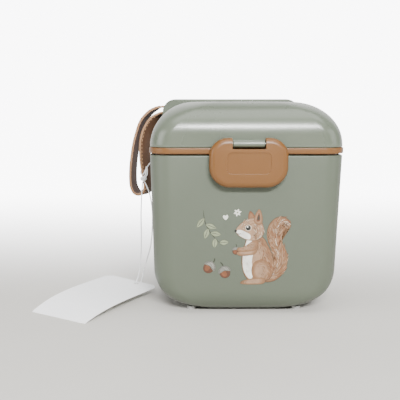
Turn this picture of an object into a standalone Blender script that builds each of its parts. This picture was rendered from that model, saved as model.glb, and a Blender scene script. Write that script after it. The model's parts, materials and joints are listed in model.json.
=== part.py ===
"""A portable formula dispenser: a drafted cup with a hinged dome lid, a front latch,
a wrist strap on a rear block, a scoop clipped under the lid and a swing tag on a string.

Metres, +Z up. The front faces -Y. The origin is the centre of the body's flat underside,
and the four feet reach FOOT_STAND below it.
"""

import math

import bmesh
import bpy
from mathutils import Matrix, Vector

MM = 0.001

# Fits
FIT_GAP = 0.3 * MM
PIN_GAP = 0.3 * MM

# Body shell
BODY_WIDTH = 120 * MM
BODY_DEPTH = 88 * MM
BODY_HEIGHT = 99.7 * MM
BODY_DRAFT = math.radians(1.6)
BODY_WALL = 2.2 * MM
BODY_FLOOR = 2.8 * MM
PLAN_CORNER = 13 * MM
CORNER_GROWTH = 0.35
BOTTOM_SIDE_FILLET = 26 * MM
BOTTOM_FRONT_FILLET = 14 * MM
LIP_ROUND = 0.6 * MM

# Feet
FOOT_RADIUS = 2.75 * MM
FOOT_STAND = 0.9 * MM
FOOT_SUNK = 1.3 * MM
FOOT_CHAMFER = 0.3 * MM
FOOT_FROM_SIDE = 26 * MM
FOOT_FROM_FRONT = 16 * MM

# Lid ring: the visible band, the plug with its seal groove, and the inner plate
BAND_GAP = 1.0 * MM
BAND_HEIGHT = 3.6 * MM
BAND_PROUD = 0.5 * MM
PLUG_DEPTH = 6.2 * MM
PLUG_GAP = 1.3 * MM
PLUG_WALL = 2.4 * MM
PLATE_THICKNESS = 1.8 * MM
PLATE_RAISE = 0.3 * MM
SPIGOT_HEIGHT = 2.0 * MM
SPIGOT_WALL = 1.6 * MM

# Seal
SEAL_HEIGHT = 2.4 * MM
SEAL_GROOVE_DEPTH = 1.2 * MM
SEAL_ABOVE_PLUG_END = 1.4 * MM
SEAL_LIP = 0.5 * MM

# Lid shell
LID_HEIGHT = 27.8 * MM
LID_WALL = 2.2 * MM
LID_SIDE_FILLET = 27.8 * MM
LID_FRONT_FILLET = 20 * MM

# Latch and its knuckle
LATCH_WIDTH = 46.2 * MM
LATCH_BULGE = 0.7 * MM
LATCH_UPPER_CORNER = 10.5 * MM
LATCH_LOWER_CORNER = 12 * MM
LATCH_DROP = 26.3 * MM
LATCH_THICKNESS = 5.8 * MM
LATCH_STAND_OFF = 2.0 * MM
LATCH_NOTCH_WIDTH = 20 * MM
LATCH_NOTCH_DROP = 3.1 * MM
LATCH_PIN_RADIUS = 0.9 * MM
LATCH_PIN_REACH = 6 * MM
LATCH_EAR_TOP = 3.6 * MM
LATCH_PIN_ABOVE_LID_EDGE = 2.4 * MM
LATCH_PIN_FROM_WALL = 4.2 * MM
LATCH_POCKET_DEPTH = 2.4 * MM
LATCH_POCKET_MARGIN = 5.5 * MM
LATCH_LAND = 4.4 * MM
PANEL_WIDTH = 26.5 * MM
PANEL_HEIGHT = 12.8 * MM
PANEL_CORNER = 3.0 * MM
PANEL_SUNK = 0.35 * MM
PANEL_BELOW_NOTCH = 2.0 * MM
KNUCKLE_RADIUS = 2.1 * MM

# Catch on the body's front
CATCH_WIDTH = 18 * MM
CATCH_HEIGHT = 2.6 * MM
CATCH_ABOVE_LATCH_END = 4.9 * MM

# Rear hinge
HINGE_BEHIND_BODY = 4.0 * MM
HINGE_ABOVE_BAND = 1.6 * MM
HINGE_BARREL_RADIUS = 2.9 * MM
HINGE_PIN_RADIUS = 1.2 * MM
HINGE_LID_BARREL = 47.4 * MM
HINGE_BODY_BARREL = 12 * MM
HINGE_WEB_DROP = 9 * MM

# Rear block
BLOCK_LEFT_INSET = 6.3 * MM
BLOCK_RIGHT_INSET = 16.6 * MM
BLOCK_ABOVE_LID = 2.4 * MM
BLOCK_CORNER = 9 * MM
BLOCK_REACH = 14 * MM
BLOCK_BACK_ROUND = 11 * MM
BLOCK_BEHIND_HINGE = 2.9 * MM
BLOCK_EDGE_ROUND = 0.9 * MM
BLOCK_CLEAR_OF_HINGE = 4.0 * MM
BLOCK_SCREW_SPACING = 60 * MM
BLOCK_SCREW_HEIGHT = 5 * MM
SCREW_RADIUS = 1.2 * MM
SCREW_HEAD_RADIUS = 2.5 * MM
SCREW_HEAD_HEIGHT = 1.5 * MM
SCREW_LENGTH = 7 * MM

# Strap and its clevis
STRAP_WIDTH = 12 * MM
STRAP_THICKNESS = 1.3 * MM
STRAP_TWIST = math.radians(10)
STRAP_RETURN_TWIST = math.radians(28)
STRAP_PIN_RADIUS = 0.9 * MM
STRAP_PIN_FROM_LEFT = 2.3 * MM
STRAP_PIN_BELOW_TOP = 7.4 * MM
CLEVIS_FRONT_EAR = 1.7 * MM
CLEVIS_DEPTH = 6.4 * MM
CLEVIS_FLOOR_DROP = 5.2 * MM
CLEVIS_PIN_SEAT = 1.2 * MM

# Levelling bar
LEVELLER_FROM_SIDE = 19 * MM
LEVELLER_THICKNESS = 2.0 * MM
LEVELLER_HEIGHT = 6 * MM
LEVELLER_UNDER_PLUG = 1.0 * MM

# Scoop and its clip
SCOOP_RADIUS = 14 * MM
SCOOP_DEPTH = 20 * MM
SCOOP_TAPER = 2.0 * MM
SCOOP_WALL = 1.2 * MM
SCOOP_FROM_SIDE = 34 * MM
SCOOP_BEFORE_LEVELLER = 5 * MM
SCOOP_HANDLE_WIDTH = 8 * MM
SCOOP_HANDLE_THICKNESS = 2.2 * MM
SCOOP_UNDER_PLATE = 5.5 * MM
CLIP_FROM_TIP = 20 * MM
CLIP_LENGTH = 9 * MM
CLIP_FINGER = 1.4 * MM
CLIP_BASE = 1.6 * MM

# Swing tag
TAG_LENGTH = 78.3 * MM
TAG_WIDTH = 44 * MM
TAG_THICKNESS = 0.5 * MM
TAG_CORNER = 4 * MM
TAG_LIFT = 6.0 * MM
TAG_TILT = 1.2 * MM
TAG_BEND = 4.4
TAG_LEFT_OF_KNOT = 7.3 * MM
TAG_BEFORE_KNOT = 10.8 * MM
TAG_TURN = math.radians(32.6)
TAG_HOLE_RADIUS = 1.8 * MM
TAG_HOLE_INSET = 4.4 * MM
TAG_HOLE_SIDE = 6 * MM

# String
STRING_RADIUS = 0.45 * MM
KNOT_RADIUS = 2.4 * MM
KNOT_LEFT_OF_PIN = 16.3 * MM
KNOT_BEFORE_STRAP = 9.2 * MM
KNOT_BELOW_PIN = 49.2 * MM
KNOT_ABOVE_FLOOR = 79.1 * MM
STRING_STRAIGHT_FROM = 20 * MM
STRING_STRAIGHT_TO = 66 * MM

# How finely round shapes are divided
CORNER_STEPS = 6
FILLET_STEPS = 8
PIN_SIDES = 16
CURVE_STEPS = 3

# Places that follow from the sizes above
BAND_BOTTOM = BODY_HEIGHT + BAND_GAP
BAND_TOP = BAND_BOTTOM + BAND_HEIGHT
LID_BOTTOM = BAND_TOP + FIT_GAP
LID_TOP = LID_BOTTOM + LID_HEIGHT
PLUG_END = BAND_BOTTOM - PLUG_DEPTH
PLATE_BOTTOM = BAND_BOTTOM + PLATE_RAISE
PLATE_TOP = PLATE_BOTTOM + PLATE_THICKNESS
HINGE_Y = BODY_DEPTH / 2 + HINGE_BEHIND_BODY
FOOT_X = BODY_WIDTH / 2 - FOOT_FROM_SIDE
FOOT_Y = BODY_DEPTH / 2 - FOOT_FROM_FRONT
LEVELLER_X = BODY_WIDTH / 2 - LEVELLER_FROM_SIDE
SCOOP_X = SCOOP_FROM_SIDE - BODY_WIDTH / 2
SCOOP_TIP = LEVELLER_X - SCOOP_BEFORE_LEVELLER
CLIP_X = SCOOP_TIP - CLIP_FROM_TIP
BLOCK_LEFT = BODY_WIDTH / 2 - BLOCK_LEFT_INSET
BLOCK_RIGHT = BODY_WIDTH / 2 - BLOCK_RIGHT_INSET
BLOCK_FRONT = BODY_DEPTH / 2 - BLOCK_REACH
HINGE_Z = BAND_BOTTOM + HINGE_ABOVE_BAND
LATCH_PIN_Y = -BODY_DEPTH / 2 - LATCH_PIN_FROM_WALL
LATCH_PIN_Z = LID_BOTTOM + LATCH_PIN_ABOVE_LID_EDGE
BLOCK_TOP = LID_TOP + BLOCK_ABOVE_LID
BLOCK_BACK = HINGE_Y + BLOCK_BEHIND_HINGE
BLOCK_BOTTOM = HINGE_Z + BLOCK_CLEAR_OF_HINGE
STRAP_PIN_X = -BLOCK_LEFT + STRAP_PIN_FROM_LEFT
STRAP_PIN_Z = BLOCK_TOP - STRAP_PIN_BELOW_TOP
STRAP_FRONT = BLOCK_FRONT + CLEVIS_FRONT_EAR + FIT_GAP
STRAP_MIDDLE = STRAP_FRONT + STRAP_WIDTH / 2
FLOOR_LEVEL = -FOOT_STAND
KNOT_PLACE = Vector(
    (STRAP_PIN_X - KNOT_LEFT_OF_PIN, STRAP_MIDDLE - KNOT_BEFORE_STRAP, STRAP_PIN_Z - KNOT_BELOW_PIN)
)

SAGE = (0.305, 0.325, 0.272)
TAN = (0.434, 0.223, 0.098)


# ---------------------------------------------------------------- scene helpers


def clear_scene():
    for old in list(bpy.data.objects):
        bpy.data.objects.remove(old, do_unlink=True)


def material(name, colour, roughness, metallic=0.0):
    made = bpy.data.materials.new(name)
    made.use_nodes = True
    shader = made.node_tree.nodes["Principled BSDF"]
    shader.inputs["Base Color"].default_value = (*colour, 1)
    shader.inputs["Roughness"].default_value = roughness
    shader.inputs["Metallic"].default_value = metallic
    return made


def pivot(name, place, parent=None):
    """An empty on a joint's axis. Its place is given in world coordinates."""
    empty = bpy.data.objects.new(name, None)
    bpy.context.scene.collection.objects.link(empty)
    empty.parent = parent
    empty.location = Vector(place) - (world_place(parent) if parent else Vector())
    return empty


def world_place(holder):
    place = Vector()
    while holder:
        place += holder.location
        holder = holder.parent
    return place


def solid(name, mesh_data, finish, parent=None):
    """A named piece from a bmesh in world coordinates, with its origin on its parent's."""
    origin = world_place(parent)
    bmesh.ops.translate(mesh_data, vec=-origin, verts=mesh_data.verts)
    bmesh.ops.recalc_face_normals(mesh_data, faces=mesh_data.faces)
    mesh = bpy.data.meshes.new(name)
    mesh_data.to_mesh(mesh)
    mesh_data.free()
    mesh.materials.append(finish)
    mesh.shade_smooth()
    mesh.set_sharp_from_angle(angle=math.radians(35))
    made = bpy.data.objects.new(name, mesh)
    bpy.context.scene.collection.objects.link(made)
    made.parent = parent
    return made


def helper(name, mesh_data):
    """A shape that is only added to or cut from a piece."""
    made = solid(name, mesh_data, STEEL)
    made.hide_render = True
    made.display_type = "WIRE"
    return made


def combine(piece, other, operation):
    step = piece.modifiers.new(other.name, "BOOLEAN")
    step.operation = operation
    step.object = other


def add_to(piece, mesh_data, name):
    combine(piece, helper(piece.name + "." + name, mesh_data), "UNION")


def cut_from(piece, mesh_data, name):
    combine(piece, helper(piece.name + "." + name, mesh_data), "DIFFERENCE")


# ---------------------------------------------------------------- shape helpers


def box(low, high):
    made = bmesh.new()
    bmesh.ops.create_cube(made, size=1)
    size = Vector(high) - Vector(low)
    bmesh.ops.scale(made, vec=size, verts=made.verts)
    bmesh.ops.translate(made, vec=(Vector(high) + Vector(low)) / 2, verts=made.verts)
    return made


def rod(start, end, radius, end_radius=None, sides=PIN_SIDES):
    """A round bar between two points."""
    start = Vector(start)
    along = Vector(end) - start
    made = bmesh.new()
    bmesh.ops.create_cone(
        made,
        cap_ends=True,
        segments=sides,
        radius1=radius,
        radius2=radius if end_radius is None else end_radius,
        depth=along.length,
    )
    turn = Vector((0, 0, 1)).rotation_difference(along).to_matrix().to_4x4()
    bmesh.ops.transform(made, matrix=Matrix.Translation(start + along / 2) @ turn, verts=made.verts)
    return made


def arc(centre, radius, start, end, steps):
    """Points of an arc in a plane, with its angles in degrees."""
    points = []
    for step in range(steps + 1):
        angle = math.radians(start + (end - start) * step / steps)
        points.append((centre[0] + radius * math.cos(angle), centre[1] + radius * math.sin(angle)))
    return points


def rounded_outline(half_x, half_y, corner, steps=CORNER_STEPS):
    """A rounded rectangle, counter-clockwise from the +X side."""
    points = []
    for sign_x, sign_y, start in ((1, 1, 0), (-1, 1, 90), (-1, -1, 180), (1, -1, 270)):
        centre = (sign_x * (half_x - corner), sign_y * (half_y - corner))
        points += arc(centre, corner, start, start + 90, steps)
    return points


def ring(half_x, half_y, corner, z):
    return [Vector((x, y, z)) for x, y in rounded_outline(half_x, half_y, corner)]


def loft(rings, closed=False):
    """Joins rings of equal length one after another, with end caps unless it closes on itself."""
    made = bmesh.new()
    rows = [[made.verts.new(point) for point in points] for points in rings]
    pairs = list(zip(rows, rows[1:]))
    if closed:
        pairs.append((rows[-1], rows[0]))
    count = len(rows[0])
    for row, following in pairs:
        for index in range(count):
            after = (index + 1) % count
            made.faces.new((row[index], row[after], following[after], following[index]))
    if not closed:
        made.faces.new(rows[0])
        made.faces.new(rows[-1])
    return made


def prism(outline, start, end, across):
    """An outline pushed along X ('x', points are Y,Z) or along Y ('y', points are X,Z)."""
    if across == "x":
        rings = [[Vector((place, u, v)) for u, v in outline] for place in (start, end)]
    else:
        rings = [[Vector((u, place, v)) for u, v in outline] for place in (start, end)]
    return loft(rings)


def drawn_in(distance, radius):
    """How far a filleted wall has drawn in, this far from the flat face it runs into."""
    if distance >= radius:
        return 0.0
    return radius - math.sqrt(radius**2 - (radius - distance) ** 2)


def fillet_heights(radius, steps=FILLET_STEPS):
    """Distances from the flat face at which a fillet's rings stand, nearest first."""
    return [radius * (1 - math.cos(math.radians(90 * step / steps))) for step in range(steps + 1)]


# ---------------------------------------------------------------- outlines of body and lid


def body_ring(z, wall=0.0, floor=0.0):
    """The body's outline at height z, or its inner one for a wall and floor thickness."""
    above = max(z - floor, 0.0)
    taper = (BODY_HEIGHT - z) * math.tan(BODY_DRAFT)
    side = drawn_in(above, BOTTOM_SIDE_FILLET - wall)
    front = drawn_in(above, BOTTOM_FRONT_FILLET - wall)
    corner = PLAN_CORNER - wall + CORNER_GROWTH * side
    return ring(BODY_WIDTH / 2 - taper - wall - side, BODY_DEPTH / 2 - taper - wall - front, corner, z)


def seam_ring(offset, z):
    """The outline of the mouth, drawn in by offset."""
    return ring(BODY_WIDTH / 2 - offset, BODY_DEPTH / 2 - offset, PLAN_CORNER - offset, z)


def lid_ring_at(below_top, z, wall=0.0):
    """The dome's outline this far below its top face, or its inner one."""
    side = drawn_in(below_top, LID_SIDE_FILLET - wall)
    front = drawn_in(below_top, LID_FRONT_FILLET - wall)
    corner = PLAN_CORNER - wall + CORNER_GROWTH * side
    half_y = BODY_DEPTH / 2 - wall - front
    return ring(BODY_WIDTH / 2 - wall - side, half_y, min(corner, half_y), z)


def dome(wall, bottom):
    """A solid dome with the lid's outer shape drawn in by wall, down to a height."""
    top = LID_TOP - wall
    heights = [top - distance for distance in fillet_heights(LID_SIDE_FILLET - wall)]
    heights = [height for height in heights if height > bottom + FIT_GAP] + [bottom]
    return [lid_ring_at(top - height, height, wall) for height in heights]


# ---------------------------------------------------------------- body


def make_body():
    inner = [BODY_FLOOR + distance for distance in fillet_heights(BOTTOM_SIDE_FILLET - BODY_WALL)]
    rings = [body_ring(z, BODY_WALL, BODY_FLOOR) for z in inner]
    rings.append(body_ring(BODY_HEIGHT, BODY_WALL, BODY_FLOOR))
    rings.append(seam_ring(LIP_ROUND, BODY_HEIGHT))
    rings.append(body_ring(BODY_HEIGHT - LIP_ROUND))
    rings += [body_ring(z) for z in reversed(fillet_heights(BOTTOM_SIDE_FILLET))]
    body = solid("body_shell", loft(rings), SAGE_PLASTIC)
    catch_z = LATCH_PIN_Z - LATCH_DROP + CATCH_ABOVE_LATCH_END
    wall_y = -BODY_DEPTH / 2 + (BODY_HEIGHT - catch_z) * math.tan(BODY_DRAFT)
    tip_y = LATCH_BACK_Y + 2 * FIT_GAP
    root_y = wall_y + BODY_WALL / 2
    wedge = [
        (root_y, catch_z),
        (tip_y, catch_z),
        (tip_y, catch_z + CATCH_HEIGHT / 2),
        (wall_y, catch_z + CATCH_HEIGHT),
        (root_y, catch_z + CATCH_HEIGHT),
    ]
    add_to(body, prism(wedge, -CATCH_WIDTH / 2, CATCH_WIDTH / 2, "x"), "catch")
    for side in (-1, 1):
        make_body_barrel(body, side)
    hole = HINGE_PIN_RADIUS + PIN_GAP
    reach = HINGE_LID_BARREL / 2 + FIT_GAP + HINGE_BODY_BARREL + FIT_GAP
    cut_from(body, rod((-reach, HINGE_Y, HINGE_Z), (reach, HINGE_Y, HINGE_Z), hole), "pin_hole")
    for x, y in foot_places().values():
        pocket = FOOT_RADIUS + FIT_GAP
        cut_from(body, rod((x, y, -FOOT_STAND), (x, y, FOOT_SUNK + FIT_GAP), pocket), "foot_pocket")
    return body


def make_body_barrel(body, side):
    inner = side * (HINGE_LID_BARREL / 2 + FIT_GAP)
    outer = inner + side * HINGE_BODY_BARREL
    root_y = BODY_DEPTH / 2 - BODY_WALL / 2
    front_y = HINGE_Y - HINGE_BARREL_RADIUS
    back_y = HINGE_Y + HINGE_BARREL_RADIUS
    shoulder = BODY_HEIGHT - 2 * LIP_ROUND
    web = [
        (root_y, shoulder),
        (root_y, shoulder - HINGE_WEB_DROP),
        (BODY_DEPTH / 2, shoulder - HINGE_WEB_DROP),
        (back_y, HINGE_Z - HINGE_BARREL_RADIUS / 2),
        (back_y, HINGE_Z),
        (front_y, HINGE_Z),
        (front_y, shoulder),
    ]
    add_to(body, prism(web, inner, outer, "x"), "web")
    add_to(body, rod((inner, HINGE_Y, HINGE_Z), (outer, HINGE_Y, HINGE_Z), HINGE_BARREL_RADIUS), "barrel")


def foot_places():
    return {
        "foot_front_left": (-FOOT_X, -FOOT_Y),
        "foot_front_right": (FOOT_X, -FOOT_Y),
        "foot_rear_left": (-FOOT_X, FOOT_Y),
        "foot_rear_right": (FOOT_X, FOOT_Y),
    }


def make_feet():
    for name, (x, y) in foot_places().items():
        levels = (
            (FOOT_RADIUS - FOOT_CHAMFER, -FOOT_STAND),
            (FOOT_RADIUS, -FOOT_STAND + FOOT_CHAMFER),
            (FOOT_RADIUS, FOOT_SUNK),
        )
        rings = []
        for radius, z in levels:
            rings.append([Vector((u, v, z)) for u, v in arc((x, y), radius, 0, 360, PIN_SIDES)[:-1]])
        solid(name, loft(rings), RUBBER)


def make_leveller():
    top = PLUG_END - LEVELLER_UNDER_PLUG
    taper = (BODY_HEIGHT - top + LEVELLER_HEIGHT) * math.tan(BODY_DRAFT)
    reach = BODY_DEPTH / 2 - BODY_WALL - taper - FIT_GAP
    edge = LEVELLER_X - LEVELLER_THICKNESS / 2
    blade = [
        (edge, top - LEVELLER_HEIGHT),
        (edge + LEVELLER_THICKNESS, top - LEVELLER_HEIGHT),
        (edge + LEVELLER_THICKNESS, top),
        (edge + LEVELLER_THICKNESS / 2, top),
    ]
    solid("leveller_bar", prism(blade, -reach, reach, "y"), CLEAR_PLASTIC)


# ---------------------------------------------------------------- lid


def make_lid(lid):
    outer = dome(0.0, LID_BOTTOM)
    inner = dome(LID_WALL, LID_BOTTOM)
    shell = solid("lid_shell", loft(outer + inner[::-1]), SAGE_PLASTIC, lid)
    reach = LATCH_NOTCH_WIDTH / 2 - FIT_GAP
    web_low = (-reach, LATCH_PIN_Y, LATCH_PIN_Z - KNUCKLE_RADIUS / 2)
    web_high = (reach, -BODY_DEPTH / 2 + LID_WALL / 2, LATCH_PIN_Z + KNUCKLE_RADIUS)
    add_to(shell, box(web_low, web_high), "knuckle_web")
    ends = ((-reach, LATCH_PIN_Y, LATCH_PIN_Z), (reach, LATCH_PIN_Y, LATCH_PIN_Z))
    add_to(shell, rod(*ends, KNUCKLE_RADIUS), "knuckle")
    cut_from(shell, rod(*latch_pin_ends(FIT_GAP), LATCH_PIN_RADIUS + PIN_GAP), "pin_hole")
    for x in screw_places().values():
        inside = BODY_DEPTH / 2 - LID_WALL - FIT_GAP
        outside = BODY_DEPTH / 2 + FIT_GAP
        z = LID_BOTTOM + BLOCK_SCREW_HEIGHT
        cut_from(shell, rod((x, inside, z), (x, outside, z), SCREW_RADIUS + PIN_GAP), "screw_hole")
    return shell


def make_lid_ring(lid):
    plug = BODY_WALL + PLUG_GAP
    groove = plug + SEAL_GROOVE_DEPTH
    inner = plug + PLUG_WALL
    groove_low = PLUG_END + SEAL_ABOVE_PLUG_END
    groove_high = groove_low + SEAL_HEIGHT
    spigot = LID_WALL + FIT_GAP
    levels = (
        (inner, PLATE_BOTTOM),
        (inner, PLUG_END),
        (plug, PLUG_END),
        (plug, groove_low),
        (groove, groove_low),
        (groove, groove_high),
        (plug, groove_high),
        (plug, BAND_BOTTOM),
        (-BAND_PROUD, BAND_BOTTOM),
        (-BAND_PROUD, BAND_TOP),
        (spigot, BAND_TOP),
        (spigot, BAND_TOP + SPIGOT_HEIGHT),
        (spigot + SPIGOT_WALL, BAND_TOP + SPIGOT_HEIGHT),
        (spigot + SPIGOT_WALL, PLATE_TOP),
    )
    solid("lid_ring", loft([seam_ring(offset, z) for offset, z in levels]), TAN_PLASTIC, lid)
    seal_out = BODY_WALL + FIT_GAP
    seal_in = groove - FIT_GAP
    low = groove_low + FIT_GAP
    high = groove_high - FIT_GAP
    profile = (
        (seal_in, low),
        (seal_out + SEAL_LIP, low),
        (seal_out, (low + high) / 2),
        (seal_out + SEAL_LIP, high),
        (seal_in, high),
    )
    solid("lid_seal", loft([seam_ring(offset, z) for offset, z in profile], closed=True), SILICONE, lid)


def screw_places():
    middle = (BLOCK_RIGHT - BLOCK_LEFT) / 2
    return {
        "block_screw_left": middle - BLOCK_SCREW_SPACING / 2,
        "block_screw_right": middle + BLOCK_SCREW_SPACING / 2,
    }


def make_screws(lid):
    z = LID_BOTTOM + BLOCK_SCREW_HEIGHT
    seat = BODY_DEPTH / 2 - LID_WALL - FIT_GAP
    for name, x in screw_places().items():
        levels = (
            (SCREW_HEAD_RADIUS, seat - SCREW_HEAD_HEIGHT),
            (SCREW_HEAD_RADIUS, seat),
            (SCREW_RADIUS, seat),
            (SCREW_RADIUS, seat + SCREW_LENGTH),
        )
        rings = []
        for radius, y in levels:
            rings.append([Vector((u, y, v)) for u, v in arc((x, z), radius, 0, 360, PIN_SIDES)[:-1]])
        solid(name, loft(rings), STEEL, lid)


def make_block(lid):
    """The rear block: hinge barrel below, strap clevis at its left end."""
    profile = [(BLOCK_FRONT, BLOCK_BOTTOM), (BLOCK_FRONT, BLOCK_TOP - BLOCK_EDGE_ROUND)]
    profile += [(BLOCK_FRONT + BLOCK_EDGE_ROUND, BLOCK_TOP)]
    back_centre = (BLOCK_BACK - BLOCK_BACK_ROUND, BLOCK_TOP - BLOCK_BACK_ROUND)
    profile += arc(back_centre, BLOCK_BACK_ROUND, 90, 0, CORNER_STEPS)
    profile += [(BLOCK_BACK, BLOCK_BOTTOM)]
    block = solid("rear_block", prism(profile, -BLOCK_LEFT, BLOCK_RIGHT, "x"), SAGE_PLASTIC, lid)
    corner_z = BLOCK_TOP - BLOCK_CORNER
    outline = [(-BLOCK_LEFT, BLOCK_BOTTOM - BLOCK_CORNER), (BLOCK_RIGHT, BLOCK_BOTTOM - BLOCK_CORNER)]
    outline += arc((BLOCK_RIGHT - BLOCK_CORNER, corner_z), BLOCK_CORNER, 0, 90, CORNER_STEPS)
    outline += arc((-BLOCK_LEFT + BLOCK_CORNER, corner_z), BLOCK_CORNER, 90, 180, CORNER_STEPS)
    front_view = prism(outline, BLOCK_FRONT - BLOCK_CORNER, BLOCK_BACK + BLOCK_CORNER, "y")
    combine(block, helper("rear_block.outline", front_view), "INTERSECT")
    half_barrel = HINGE_LID_BARREL / 2
    web_low = (-half_barrel, HINGE_Y - HINGE_BARREL_RADIUS, HINGE_Z)
    web_high = (half_barrel, BLOCK_BACK, BLOCK_BOTTOM + FIT_GAP)
    add_to(block, box(web_low, web_high), "barrel_web")
    ends = ((-half_barrel, HINGE_Y, HINGE_Z), (half_barrel, HINGE_Y, HINGE_Z))
    add_to(block, rod(*ends, HINGE_BARREL_RADIUS), "barrel")
    cut_from(block, loft(dome(-FIT_GAP, BLOCK_BOTTOM - BLOCK_CORNER)), "lid_seat")
    notch_low = (-BLOCK_LEFT - BLOCK_CORNER, STRAP_FRONT - FIT_GAP, STRAP_PIN_Z - CLEVIS_FLOOR_DROP)
    notch_high = (
        -BLOCK_LEFT + CLEVIS_DEPTH,
        STRAP_FRONT + STRAP_WIDTH + FIT_GAP,
        BLOCK_TOP + BLOCK_CORNER,
    )
    cut_from(block, box(notch_low, notch_high), "clevis")
    cut_from(block, rod(*strap_pin_ends(FIT_GAP), STRAP_PIN_RADIUS + PIN_GAP), "strap_pin_hole")
    hole = HINGE_PIN_RADIUS + PIN_GAP
    past = half_barrel + FIT_GAP
    cut_from(block, rod((-past, HINGE_Y, HINGE_Z), (past, HINGE_Y, HINGE_Z), hole), "hinge_hole")
    z = LID_BOTTOM + BLOCK_SCREW_HEIGHT
    for x in screw_places().values():
        start = (x, BODY_DEPTH / 2 - FIT_GAP, z)
        end = (x, BODY_DEPTH / 2 - LID_WALL + SCREW_LENGTH, z)
        cut_from(block, rod(start, end, SCREW_RADIUS + PIN_GAP), "screw_hole")


def strap_pin_ends(extra=0.0):
    """The strap pin runs from inside the front ear into the block behind the strap."""
    front = STRAP_FRONT - FIT_GAP - CLEVIS_PIN_SEAT - extra
    back = STRAP_FRONT + STRAP_WIDTH + FIT_GAP + 2 * CLEVIS_PIN_SEAT + extra
    return (STRAP_PIN_X, front, STRAP_PIN_Z), (STRAP_PIN_X, back, STRAP_PIN_Z)


def latch_pin_ends(extra=0.0):
    reach = LATCH_NOTCH_WIDTH / 2 + LATCH_PIN_REACH + extra
    return (-reach, LATCH_PIN_Y, LATCH_PIN_Z), (reach, LATCH_PIN_Y, LATCH_PIN_Z)


def make_pins(lid):
    solid("latch_pin", rod(*latch_pin_ends(), LATCH_PIN_RADIUS), STEEL, lid)
    solid("strap_pin", rod(*strap_pin_ends(), STRAP_PIN_RADIUS), STEEL, lid)
    reach = HINGE_LID_BARREL / 2 + HINGE_BODY_BARREL
    ends = ((-reach, HINGE_Y, HINGE_Z), (reach, HINGE_Y, HINGE_Z))
    solid("hinge_pin", rod(*ends, HINGE_PIN_RADIUS), STEEL)


# ---------------------------------------------------------------- latch

LATCH_BACK_Y = -BODY_DEPTH / 2 - LATCH_STAND_OFF
LATCH_TOP = LATCH_PIN_Z + LATCH_EAR_TOP
LATCH_BOTTOM = LATCH_PIN_Z - LATCH_DROP


def latch_outline(inset):
    """The flap's outline in X and Z: rounded corners and gently bulged sides."""
    half = LATCH_WIDTH / 2 - inset
    low = LATCH_BOTTOM + inset
    high = LATCH_TOP - inset
    upper = LATCH_UPPER_CORNER - inset
    lower = LATCH_LOWER_CORNER - inset
    points = arc((half - upper, high - upper), upper, 0, 90, CORNER_STEPS)
    points += arc((-half + upper, high - upper), upper, 90, 180, CORNER_STEPS)
    points += arc((-half + lower, low + lower), lower, 180, 270, CORNER_STEPS)
    points += arc((half - lower, low + lower), lower, 270, 360, CORNER_STEPS)
    middle = (low + high) / 2
    bulged = []
    for x, z in points:
        share = 1 - ((z - middle) / (high - middle)) ** 2
        bulged.append((x + math.copysign(LATCH_BULGE * share, x), z))
    return bulged


def make_latch(latch):
    front = LATCH_BACK_Y - LATCH_THICKNESS
    edge = LATCH_THICKNESS
    levels = (
        (0.14 * edge, LATCH_BACK_Y),
        (0.0, LATCH_BACK_Y - 0.1 * edge),
        (0.0, LATCH_BACK_Y - 0.45 * edge),
        (0.07 * edge, LATCH_BACK_Y - 0.7 * edge),
        (0.24 * edge, LATCH_BACK_Y - 0.88 * edge),
        (0.6 * edge, front),
    )
    rings = [[Vector((x, y, z)) for x, z in latch_outline(inset)] for inset, y in levels]
    flap = solid("latch", loft(rings), TAN_PLASTIC, latch)
    half_notch = LATCH_NOTCH_WIDTH / 2
    notch_z = LATCH_PIN_Z - LATCH_NOTCH_DROP
    notch_low = (-half_notch, front - edge, notch_z)
    notch_high = (half_notch, LATCH_BACK_Y + edge, LATCH_TOP + edge)
    cut_from(flap, box(notch_low, notch_high), "notch")
    cut_from(flap, rod(*latch_pin_ends(FIT_GAP), LATCH_PIN_RADIUS + PIN_GAP), "pin_hole")
    half_pocket = LATCH_WIDTH / 2 - LATCH_POCKET_MARGIN
    pocket_low = (-half_pocket, LATCH_BACK_Y - LATCH_POCKET_DEPTH, LATCH_BOTTOM + LATCH_LAND)
    pocket_high = (half_pocket, LATCH_BACK_Y + edge, notch_z - LATCH_LAND)
    cut_from(flap, box(pocket_low, pocket_high), "pocket")
    panel_top = notch_z - PANEL_BELOW_NOTCH
    panel_z = panel_top - PANEL_HEIGHT / 2
    outline = rounded_outline(PANEL_WIDTH / 2, PANEL_HEIGHT / 2, PANEL_CORNER, 4)
    outline = [(x, z + panel_z) for x, z in outline]
    cut_from(flap, prism(outline, front - edge, front + PANEL_SUNK, "y"), "panel")


# ---------------------------------------------------------------- scoop


def make_scoop(scoop):
    top = PLATE_BOTTOM - SCOOP_UNDER_PLATE
    bottom = top - SCOOP_DEPTH
    outer_foot = SCOOP_RADIUS - SCOOP_TAPER
    levels = (
        (outer_foot - SCOOP_WALL, bottom + SCOOP_WALL),
        (SCOOP_RADIUS - SCOOP_WALL, top),
        (SCOOP_RADIUS, top),
        (outer_foot, bottom + SCOOP_WALL),
        (outer_foot - SCOOP_WALL, bottom),
    )
    rings = []
    for radius, z in levels:
        rings.append([Vector((u, v, z)) for u, v in arc((SCOOP_X, 0), radius, 0, 360, 2 * PIN_SIDES)[:-1]])
    bowl = solid("scoop", loft(rings), CLEAR_PLASTIC, scoop)
    start = SCOOP_X + SCOOP_RADIUS - SCOOP_WALL / 2
    end = SCOOP_TIP
    half = SCOOP_HANDLE_WIDTH / 2
    outline = [(start, -half), (end - half, -half)]
    outline += arc((end - half, 0), half, -60, 60, CORNER_STEPS)
    outline += [(end - half, half), (start, half)]
    low = top - SCOOP_HANDLE_THICKNESS
    add_to(bowl, loft([[Vector((x, y, z)) for x, y in outline] for z in (low, top - FIT_GAP)]), "handle")


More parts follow.
